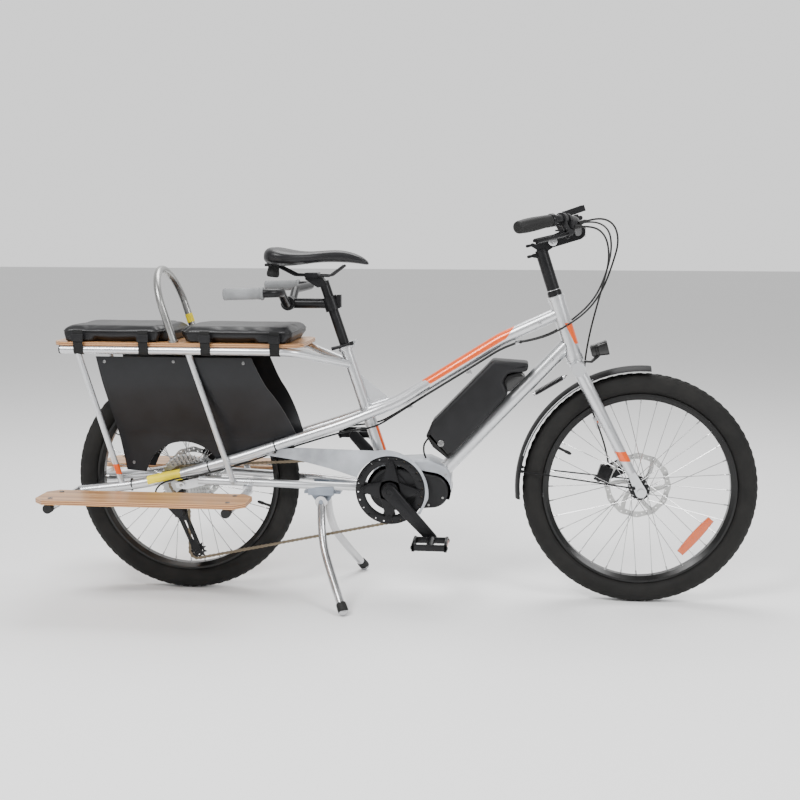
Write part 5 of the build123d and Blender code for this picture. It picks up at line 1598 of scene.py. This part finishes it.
def on_side(point, side):
    """The point for the right side (-1), or its mirror on the left (1)."""
    return Vector((point[0], -side * point[1], point[2]))


def bar_grip(side):
    """Shaped grip with a palm wing, a lock ring and fine ridges."""
    name = "bar_grip" + hand(side)
    tip, inner = on_side(GRIP_END, side), on_side(GRIP_START, side)
    run = (inner - tip).normalized()
    first, other = frame_along(run)
    palm = Vector((-0.75, side * 0.25, -0.15))
    palm_angle = math.atan2(palm.dot(other), palm.dot(first))

    def swell(distance, angle):
        wing = math.exp(-((distance - 0.022) / 0.034) ** 2)
        return 1 + 0.42 * wing * max(0, math.cos(angle - palm_angle)) ** 3

    profile = [(-0.0040, 0.004), (-0.0040, 0.0130), (-0.0020, 0.0150)]
    for step in range(46):
        distance = 0.002 + step * 0.0021
        ridge = 0.0005 if step % 2 and 6 < step < 42 else 0
        profile.append((distance, 0.0158 + 0.0012 * math.sin(distance * 46) + ridge))
    profile += [(0.0985, 0.0150), (0.0990, 0.0118)]
    grip = lathe(name, profile, tip, run, steps=36, swell=swell)
    finished(grip, soft_black, "bars", smooth_angle=60)
    ring = lathe(name + "_clamp", [(0.0995, 0.0118), (0.0995, 0.0158), (0.101, 0.0166), (0.108, 0.0166),
                                   (0.1095, 0.0158), (0.1095, 0.0118)], tip, run, steps=28)
    finished(ring, black_alloy, "bars")
    return grip


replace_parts(bar_grip(-1), "bar_grips")
bar_grip(1)


def stoker_grip(side):
    """Grey passenger grip: flanged, with shallow rings."""
    name = "stoker_grip" + hand(side)
    tip, corner = Vector((-0.436, side * 0.250, 0.838)), Vector((-0.292, side * 0.250, 0.843))
    profile = [(-0.0038, 0.005), (-0.0038, 0.0130), (-0.0022, 0.0150), (0.0030, 0.0153)]
    for step in range(40):
        profile.append((0.005 + step * 0.0021, 0.0145 + (0.0005 if step % 2 else 0)))
    profile += [(0.0905, 0.0150), (0.0925, 0.0172), (0.0965, 0.0172), (0.0985, 0.0160), (0.0988, 0.0114)]
    grip = lathe(name, profile, tip, corner - tip, steps=32)
    return finished(grip, grip_grey, "seat", smooth_angle=60)


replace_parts(stoker_grip(-1), "stoker_grips")
stoker_grip(1)


# ---- lamp, damper spring, cables ----------------------------------------
def headlight():
    """Squared lamp with bezel, lens, cooling ribs and its bracket."""
    def squared(distance, angle):
        return 0.93 / (math.cos(angle) ** 4 + math.sin(angle) ** 4) ** 0.25

    rear, front = Vector((0.493, 0, 0.682)), Vector((0.5385, 0, 0.694))
    run = (front - rear).normalized()
    shell = lathe("headlight_shell", [(0, 0.008), (0.0005, 0.0145), (0.003, 0.0172), (0.012, 0.0178),
                                      (0.0130, 0.0168), (0.0145, 0.0168), (0.0155, 0.0184), (0.0175, 0.0186),
                                      (0.0185, 0.0174), (0.0200, 0.0174), (0.0210, 0.0190), (0.040, 0.0216),
                                      (0.0465, 0.0219), (0.0468, 0.0195), (0.0430, 0.0190)], rear, run,
                  steps=40, swell=squared)
    arm = rounded_slab("arm", rounded_loop([(0.476, 0.657), (0.476, 0.652), (0.498, 0.651), (0.513, 0.664),
                                            (0.521, 0.673), (0.512, 0.677), (0.494, 0.657)], 0.002),
                       -0.0075, 0.0075, 0.0012)
    made = finished(joined("headlight_shell", shell, arm), gloss_black, "fork")
    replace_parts(made, "headlight")
    lens = lathe("headlight_lens", [(0.0425, 0.004), (0.0425, 0.0188), (0.0440, 0.0190), (0.0458, 0.0150),
                                    (0.0464, 0.0080), (0.0466, 0.0010)], rear, run, steps=40, swell=squared)
    finished(lens, lamp_glass, "fork")


headlight()


def damper_spring():
    """Coil spring with hooked ends between the down tube and the fork crown."""
    low, high = Vector((0.346, 0, 0.565)), Vector((0.424, 0, 0.612))
    axis = (high - low).normalized()
    side, other = frame_along(axis)
    length = (high - low).length
    turns = 22
    points = [low - axis * 0.004, low + axis * 0.001]
    for step in range(turns * 14 + 1):
        share = step / (turns * 14)
        angle = 2 * math.pi * turns * share
        points.append(low + axis * (0.004 + (length - 0.008) * share)
                      + (side * math.cos(angle) + other * math.sin(angle)) * 0.0060)
    points += [high - axis * 0.001, high + axis * 0.010]
    spring = tube("damper_spring_coil", points, 0.00125, sides=2)
    finished(spring, black_alloy, None, smooth_angle=180)
    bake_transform(spring)
    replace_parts(spring, "damper_spring")
    for name, centre, body in (("spring_clip_low", low, "frame"), ("spring_clip_high", high, "fork")):
        clip = lathe(name, [(-0.004, 0.0035), (-0.003, 0.0052), (0.003, 0.0052), (0.004, 0.0035)], centre,
                     axis, steps=16)
        finished(clip, polished, body)


damper_spring()

# The same routes as the model's free cable loops.
CABLE_RADIUS = 0.0025
GEAR_LOOP = [(0.444, -0.172, 1.017), (0.490, -0.140, 1.034), (0.538, -0.092, 1.022), (0.556, -0.056, 0.975),
             (0.542, -0.041, 0.915), (0.520, -0.036, 0.850), (0.485, -0.034, 0.795), (0.430, -0.031, 0.752),
             (0.360, -0.020, 0.714), (0.300, -0.009, 0.7038)]
REAR_BRAKE_LOOP = [(0.432, 0.190, 1.013), (0.488, 0.150, 1.030), (0.538, 0.092, 1.012), (0.547, 0.050, 0.955),
                   (0.530, 0.032, 0.882), (0.500, 0.029, 0.815), (0.440, 0.031, 0.758), (0.365, 0.020, 0.714),
                   (0.300, 0.009, 0.7038)]
FRONT_BRAKE_LOOP = [(0.432, -0.192, 1.008), (0.480, -0.150, 1.014), (0.520, -0.098, 0.988),
                    (0.533, -0.052, 0.930), (0.523, -0.010, 0.868), (0.508, 0.028, 0.800),
                    (0.494, 0.062, 0.730), (0.484, 0.088, 0.655), (0.481, 0.084, 0.592),
                    (0.500, 0.070, 0.524), (0.529, 0.062, 0.455), (0.545, 0.050, 0.405),
                    (0.551, 0.044, 0.372)]


def cable_loop(name, route, cuts, bodies):
    """One cable in consecutive lengths; a length between two bodies stays fixed in place, a length on one
    body rides on it.
    """
    points = centreline(route)
    marks = [0]
    for height in cuts:
        marks.append(next(i for i in range(marks[-1] + 1, len(points)) if points[i].z < height
                          and points[i].z < points[i - 1].z))
    marks.append(len(points) - 1)
    for number, pair in enumerate(bodies):
        part = points[marks[number]:marks[number + 1] + 1]
        length = tube(f"{name}_{number}", part, CABLE_RADIUS, sides=3)
        finished(length, cable_black, None, smooth_angle=180)
        if len(pair) == 2:
            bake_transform(length)
        else:
            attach(length, pair[0])
        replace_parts(length, "bar_cables")


STEERED = [("bars", "riser"), ("riser", "fork"), ("fork", "frame")]
cable_loop("gear_cable", GEAR_LOOP, (0.96, 0.84), STEERED)
cable_loop("rear_brake_hose", REAR_BRAKE_LOOP, (0.95, 0.84), STEERED)
cable_loop("front_brake_hose", FRONT_BRAKE_LOOP, (0.93, 0.74),
           [("bars", "riser"), ("riser", "fork"), ("fork",)])


def boots():
    """Rubber boots and ferrules where the cables leave the levers and meet the frame."""
    for name, route, body in (("gear_boot", GEAR_LOOP, "bars"), ("rear_brake_boot", REAR_BRAKE_LOOP, "bars"),
                              ("front_brake_boot", FRONT_BRAKE_LOOP, "bars")):
        start, after = Vector(route[0]), Vector(route[1])
        boot = lathe(name, [(0.001, 0.0062), (0.008, 0.0062), (0.010, 0.0054), (0.022, 0.0046),
                            (0.024, 0.0034), (0.027, 0.0030)], start, after - start, steps=16)
        finished(boot, soft_black, body)
    for name, route in (("gear_ferrule", GEAR_LOOP), ("rear_brake_ferrule", REAR_BRAKE_LOOP)):
        end, before = Vector(route[-1]), Vector(route[-2])
        run = end - before
        ferrule = lathe(name, [(-0.010, 0.0031), (-0.009, 0.0038), (0.006, 0.0038), (0.007, 0.0031)],
                        end, run, steps=14)
        finished(ferrule, black_plastic, "frame")


boots()

# ---- small fittings -----------------------------------------------------
def cable_ties():
    """Ties round the right side tube, cable stops under the top tube, a yellow sleeve."""
    side_tube = centreline([(0.060, -0.004, 0.589), (-0.015, -0.034, 0.543), (-0.080, -0.052, 0.517),
                            (-0.172, -0.060, 0.480), (-0.300, -0.062, 0.437), (-0.433, -0.068, 0.390),
                            (-0.697, -0.080, 0.312), (-0.894, -0.090, 0.288)])

    def tube_at(x):
        for place, after in zip(side_tube, side_tube[1:]):
            if after.x <= x <= place.x:
                share = (place.x - x) / (place.x - after.x)
                return place.lerp(after, share), (after - place).normalized()

    ties = []
    for x in (-0.350, -0.533, -0.745):
        place, run = tube_at(x)
        band = lathe("tie", [(-0.0016, 0.0143), (-0.0016, 0.0153), (0.0016, 0.0153), (0.0016, 0.0143)], place,
                     run, steps=28)
        head = block("head", place + Vector((0, -0.004, -0.0165)), (0.005, 0.005, 0.0045), 0.0008)
        ties += [band, head]
    finished(joined("cable_ties", *ties), soft_black, "frame")
    place, run = tube_at(-0.655)
    sleeve = lathe("side_tube_sleeve", [(-0.047, 0.0142), (-0.0465, 0.0150), (0.0465, 0.0150),
                                        (0.047, 0.0142)],
                   place, run, steps=32)
    finished(sleeve, yellow_tape, "frame")
    stops = []
    for x, z in ((0.300, 0.7105), (0.170, 0.6265), (0.010, 0.530)):
        for side in BOTH_SIDES:
            stops.append(block("stop", (x, side * 0.009, z - 0.007), (0.014, 0.008, 0.009), 0.0016,
                               Matrix.Rotation(math.radians(-32), 3, "Y")))
    finished(joined("cable_stops", *stops), polished, "frame")


cable_ties()


def deck_fittings():
    """Screws of the boards and deck, end caps of stubs and rails, hoop tape, frame bolts."""
    board_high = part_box("running_boards")[1]
    stub_low, stub_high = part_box("board_supports")
    rear_stub, front_stub = -0.894, -0.428
    places = []
    for side in BOTH_SIDES:
        for x in (rear_stub, front_stub):
            for y in (0.215, 0.295):
                places.append(((x, side * y, board_high.z), (0, 0, 1)))
        for x in (-0.874, -0.340):
            places.append(((x - 0.028, side * 0.100, deck_high.z), (0, 0, 1)))
    finished(at_places("board_screws", socket_screw(0.0065), places, dark_alloy), dark_alloy,
             "frame")
    caps = []
    for side in BOTH_SIDES:
        for x in (rear_stub, front_stub):
            caps.append(lathe("cap", [(-0.016, 0.0112), (-0.016, 0.0126), (0.0, 0.0126), (0.0012, 0.0118),
                                      (0.0018, 0.0080)],
                              (x, side * (stub_high.y - 0.0002), stub_low.z + 0.011), (0, side, 0), steps=24))
        caps.append(lathe("cap", [(-0.002, 0.0114), (-0.002, 0.0118), (0.001, 0.0112), (0.002, 0.0080)],
                          (rail_low.x, side * RAIL_Y, RAIL_Z), (-1, 0, 0), steps=24))
    finished(joined("tube_caps", *caps), soft_black, "frame")
    lean = math.radians(17.9)
    up = Vector((-math.sin(lean), 0, math.cos(lean)))
    tape = lathe("hoop_tape", [(0, 0.0101), (0.0004, 0.0106), (0.0246, 0.0106), (0.025, 0.0101)],
                 Vector((-0.614, 0.110, 0.708)) + up * 0.034, up, steps=28)
    finished(tape, yellow_tape, "frame")
    bolts = []
    for side in BOTH_SIDES:
        bolts.append(((-0.461, side * 0.0990, 0.320), (0, side, 0)))
        bolts.append(((-0.558, side * 0.0760, 0.320), (0, side, 0)))
        bolts.append(((-0.609, side * 0.0838, 0.308), (0, side, 0)))
        bolts.append(((-0.352, side * 0.068 if side < 0 else -0.068, 0.402), (0, -1, 0)))
    finished(at_places("frame_bolts", socket_screw(0.0048), bolts, steel), steel, "frame")


deck_fittings()


def head_fittings():
    """Lower headset ring, frame bosses, pivot discs, display and keys, plate screws, riser line."""
    ring = lathe("lower_headset", [(-0.0062, 0.0185), (-0.0062, 0.0225), (-0.003, 0.0238), (-0.0002, 0.0238),
                                   (-0.0002, 0.0185)], HEAD_BOTTOM - head_axis * 0.0004, head_axis, steps=40)
    finished(ring, silver, "fork")
    bosses = [((0.357, -0.0176, 0.757), (0, -1, 0)), ((0.392, -0.0201, 0.660), (0, -1, 0)),
              ((0.357, 0.0176, 0.757), (0, 1, 0)), ((0.392, 0.0201, 0.660), (0, 1, 0))]
    finished(at_places("frame_bosses", socket_screw(0.0045), bosses, polished), polished, "frame")
    pivot = (0.387, 0.972)
    for side in BOTH_SIDES:
        disc = lathe("stem_pivot_disc" + hand(side),
                     [(0, 0.0118), (0.0012, 0.0118), (0.0020, 0.0105), (0.0020, 0.0050), (0.0010, 0.0045)],
                     (pivot[0], side * 0.0211, pivot[1]), (0, side, 0))
        finished(disc, polished, "riser")
    screen_turn = Matrix.Rotation(-math.atan(0.35), 3, "Y")
    up = screen_turn @ Vector((0, 0, 1))
    centre = Vector((0.440, 0, 1.050))
    screen = block("display_screen", centre + up * 0.0082, (0.046, 0.050, 0.0014), 0.0006, screen_turn)
    finished(screen, gloss_black, "bars")
    keys = [block("key", centre + up * 0.0086 + Vector((-0.0255, step * 0.014, -0.0086)),
                  (0.005, 0.010, 0.0020), 0.0007, screen_turn) for step in (-1, 0, 1)]
    finished(joined("display_keys", *keys), grip_grey, "bars")
    face = [((BAR_CLAMP.x + 0.0205, step * 0.0215, BAR_CLAMP.z + rise), (1, 0, 0.1)) for step in (-1, 1)
            for rise in (-0.009, 0.009)]
    finished(at_places("face_plate_screws", socket_screw(0.0034), face, steel), steel, "bars")
    groove = lathe("riser_line", [(0.016, 0.0172), (0.0162, 0.01745), (0.0178, 0.01745), (0.018, 0.0172)],
                   HEAD_TOP, head_axis, steps=40)
    finished(groove, polished, "riser")


head_fittings()


def hose_guide():
    """Silver guide that holds the front brake hose on the left fork leg."""
    lean = Matrix.Rotation(math.radians(-22), 3, "Y")
    guide = block("hose_guide", (0.5205, 0.0675, 0.480), (0.017, 0.010, 0.036), 0.003, lean)
    finished(guide, polished, "fork")
    dot = lathe("hose_guide_dot", [(0, 0.0034), (0.0006, 0.0032), (0.0008, 0.0010)], (0.5210, 0.0626, 0.482),
                (0, -1, 0), steps=14)
    finished(dot, amber, "fork")


hose_guide()


def stand_feet():
    """Rubber feet of the double-leg stand, flat where they meet the floor."""
    for side in BOTH_SIDES:
        foot = lathe("stand_foot" + hand(side),
                     [(-0.020, 0.0112), (-0.020, 0.0132), (-0.004, 0.0142), (0.004, 0.0139), (0.0100, 0.0098),
                      (0.0138, 0.0030)], (-0.144, side * 0.218, 0.0145),
                     (0.40, side * 0.665, -0.75), steps=28)
        for vertex in foot.data.vertices:
            vertex.co.z = max(vertex.co.z, 0.0001)
        finished(foot, soft_black, "kickstand")


stand_feet()


# ---- floor, light and camera --------------------------------------------
# Lamps: name, place, the point they aim at, edge length in metres, power in watts.
LAMPS = (("key_light", (-1.6, -2.6, 3.4), (-0.1, 0, 0.5), 1.4, 150),
         ("fill_light", (2.6, -2.2, 2.4), (0.2, 0, 0.5), 1.2, 70),
         ("top_light", (0.0, 1.2, 3.6), (0, 0, 0.6), 2.0, 110))
AIR_STRENGTH = 1.25
AIR_STOPS = [(0.0, 0.45), (0.75, 1.0)]
CAMERA_PLACE = (0.3004, -3.2161, 0.9928)
CAMERA_YAW, CAMERA_ELEVATION = 5.64, 7.94
CAMERA_ROLL = 0.0031
CAMERA_LENS, SENSOR_WIDTH = 53.9, 36


def studio():
    """Pale floor, graded air and three wide soft lamps."""
    floor = mesh_object("floor", [(-30, -30, 0), (30, -30, 0), (30, 30, 0), (-30, 30, 0)], [(0, 1, 2, 3)])
    pale = Finish("floor_white", Roughness=0.9, Specular_IOR_Level=0.1)
    pale.feed(Base_Color=pale.ramp(pale.noise(0.4), (0.0, (0.92, 0.92, 0.92)), (1.0, (0.94, 0.94, 0.94))))
    floor.data.materials.append(pale.material)
    world = bpy.data.worlds.new("studio_air")
    world.use_nodes = True
    tree = world.node_tree
    direction = tree.nodes.new("ShaderNodeTexCoord")
    split = tree.nodes.new("ShaderNodeSeparateXYZ")
    shade = tree.nodes.new("ShaderNodeValToRGB")
    Finish.set_stops(shade.color_ramp, AIR_STOPS)
    tree.links.new(direction.outputs["Generated"], split.inputs[0])
    tree.links.new(split.outputs["Y"], shade.inputs[0])
    tree.links.new(shade.outputs[0], tree.nodes["Background"].inputs["Color"])
    tree.nodes["Background"].inputs["Strength"].default_value = AIR_STRENGTH
    bpy.context.scene.world = world
    for name, place, aim, size, power in LAMPS:
        lamp = bpy.data.lights.new(name, "AREA")
        lamp.shape = "SQUARE"
        lamp.size = size
        lamp.energy = power
        made = bpy.data.objects.new(name, lamp)
        bpy.context.scene.collection.objects.link(made)
        made.location = place
        made.rotation_euler = (Vector(place) - Vector(aim)).to_track_quat("Z", "Y").to_euler()


def camera():
    """Eye-level view from the right side, a little from behind the front wheel."""
    yaw, elevation, roll = math.radians(CAMERA_YAW), math.radians(CAMERA_ELEVATION), CAMERA_ROLL
    back = Vector((math.sin(yaw) * math.cos(elevation), -math.cos(yaw) * math.cos(elevation),
                   math.sin(elevation)))
    right = Vector((math.cos(yaw), math.sin(yaw), 0))
    up = back.cross(right)
    turned_right = right * math.cos(roll) + up * math.sin(roll)
    turned_up = back.cross(turned_right)
    lens = bpy.data.cameras.new("camera")
    lens.lens = CAMERA_LENS
    lens.sensor_width = SENSOR_WIDTH
    made = bpy.data.objects.new("camera", lens)
    bpy.context.scene.collection.objects.link(made)
    pose = Matrix((turned_right, turned_up, back)).transposed().to_4x4()
    made.matrix_world = Matrix.Translation(CAMERA_PLACE) @ pose
    bpy.context.scene.camera = made


studio()
camera()
for left_over in ("Cube", "Light", "Camera"):
    if left_over in bpy.data.objects:
        bpy.data.objects.remove(bpy.data.objects[left_over])
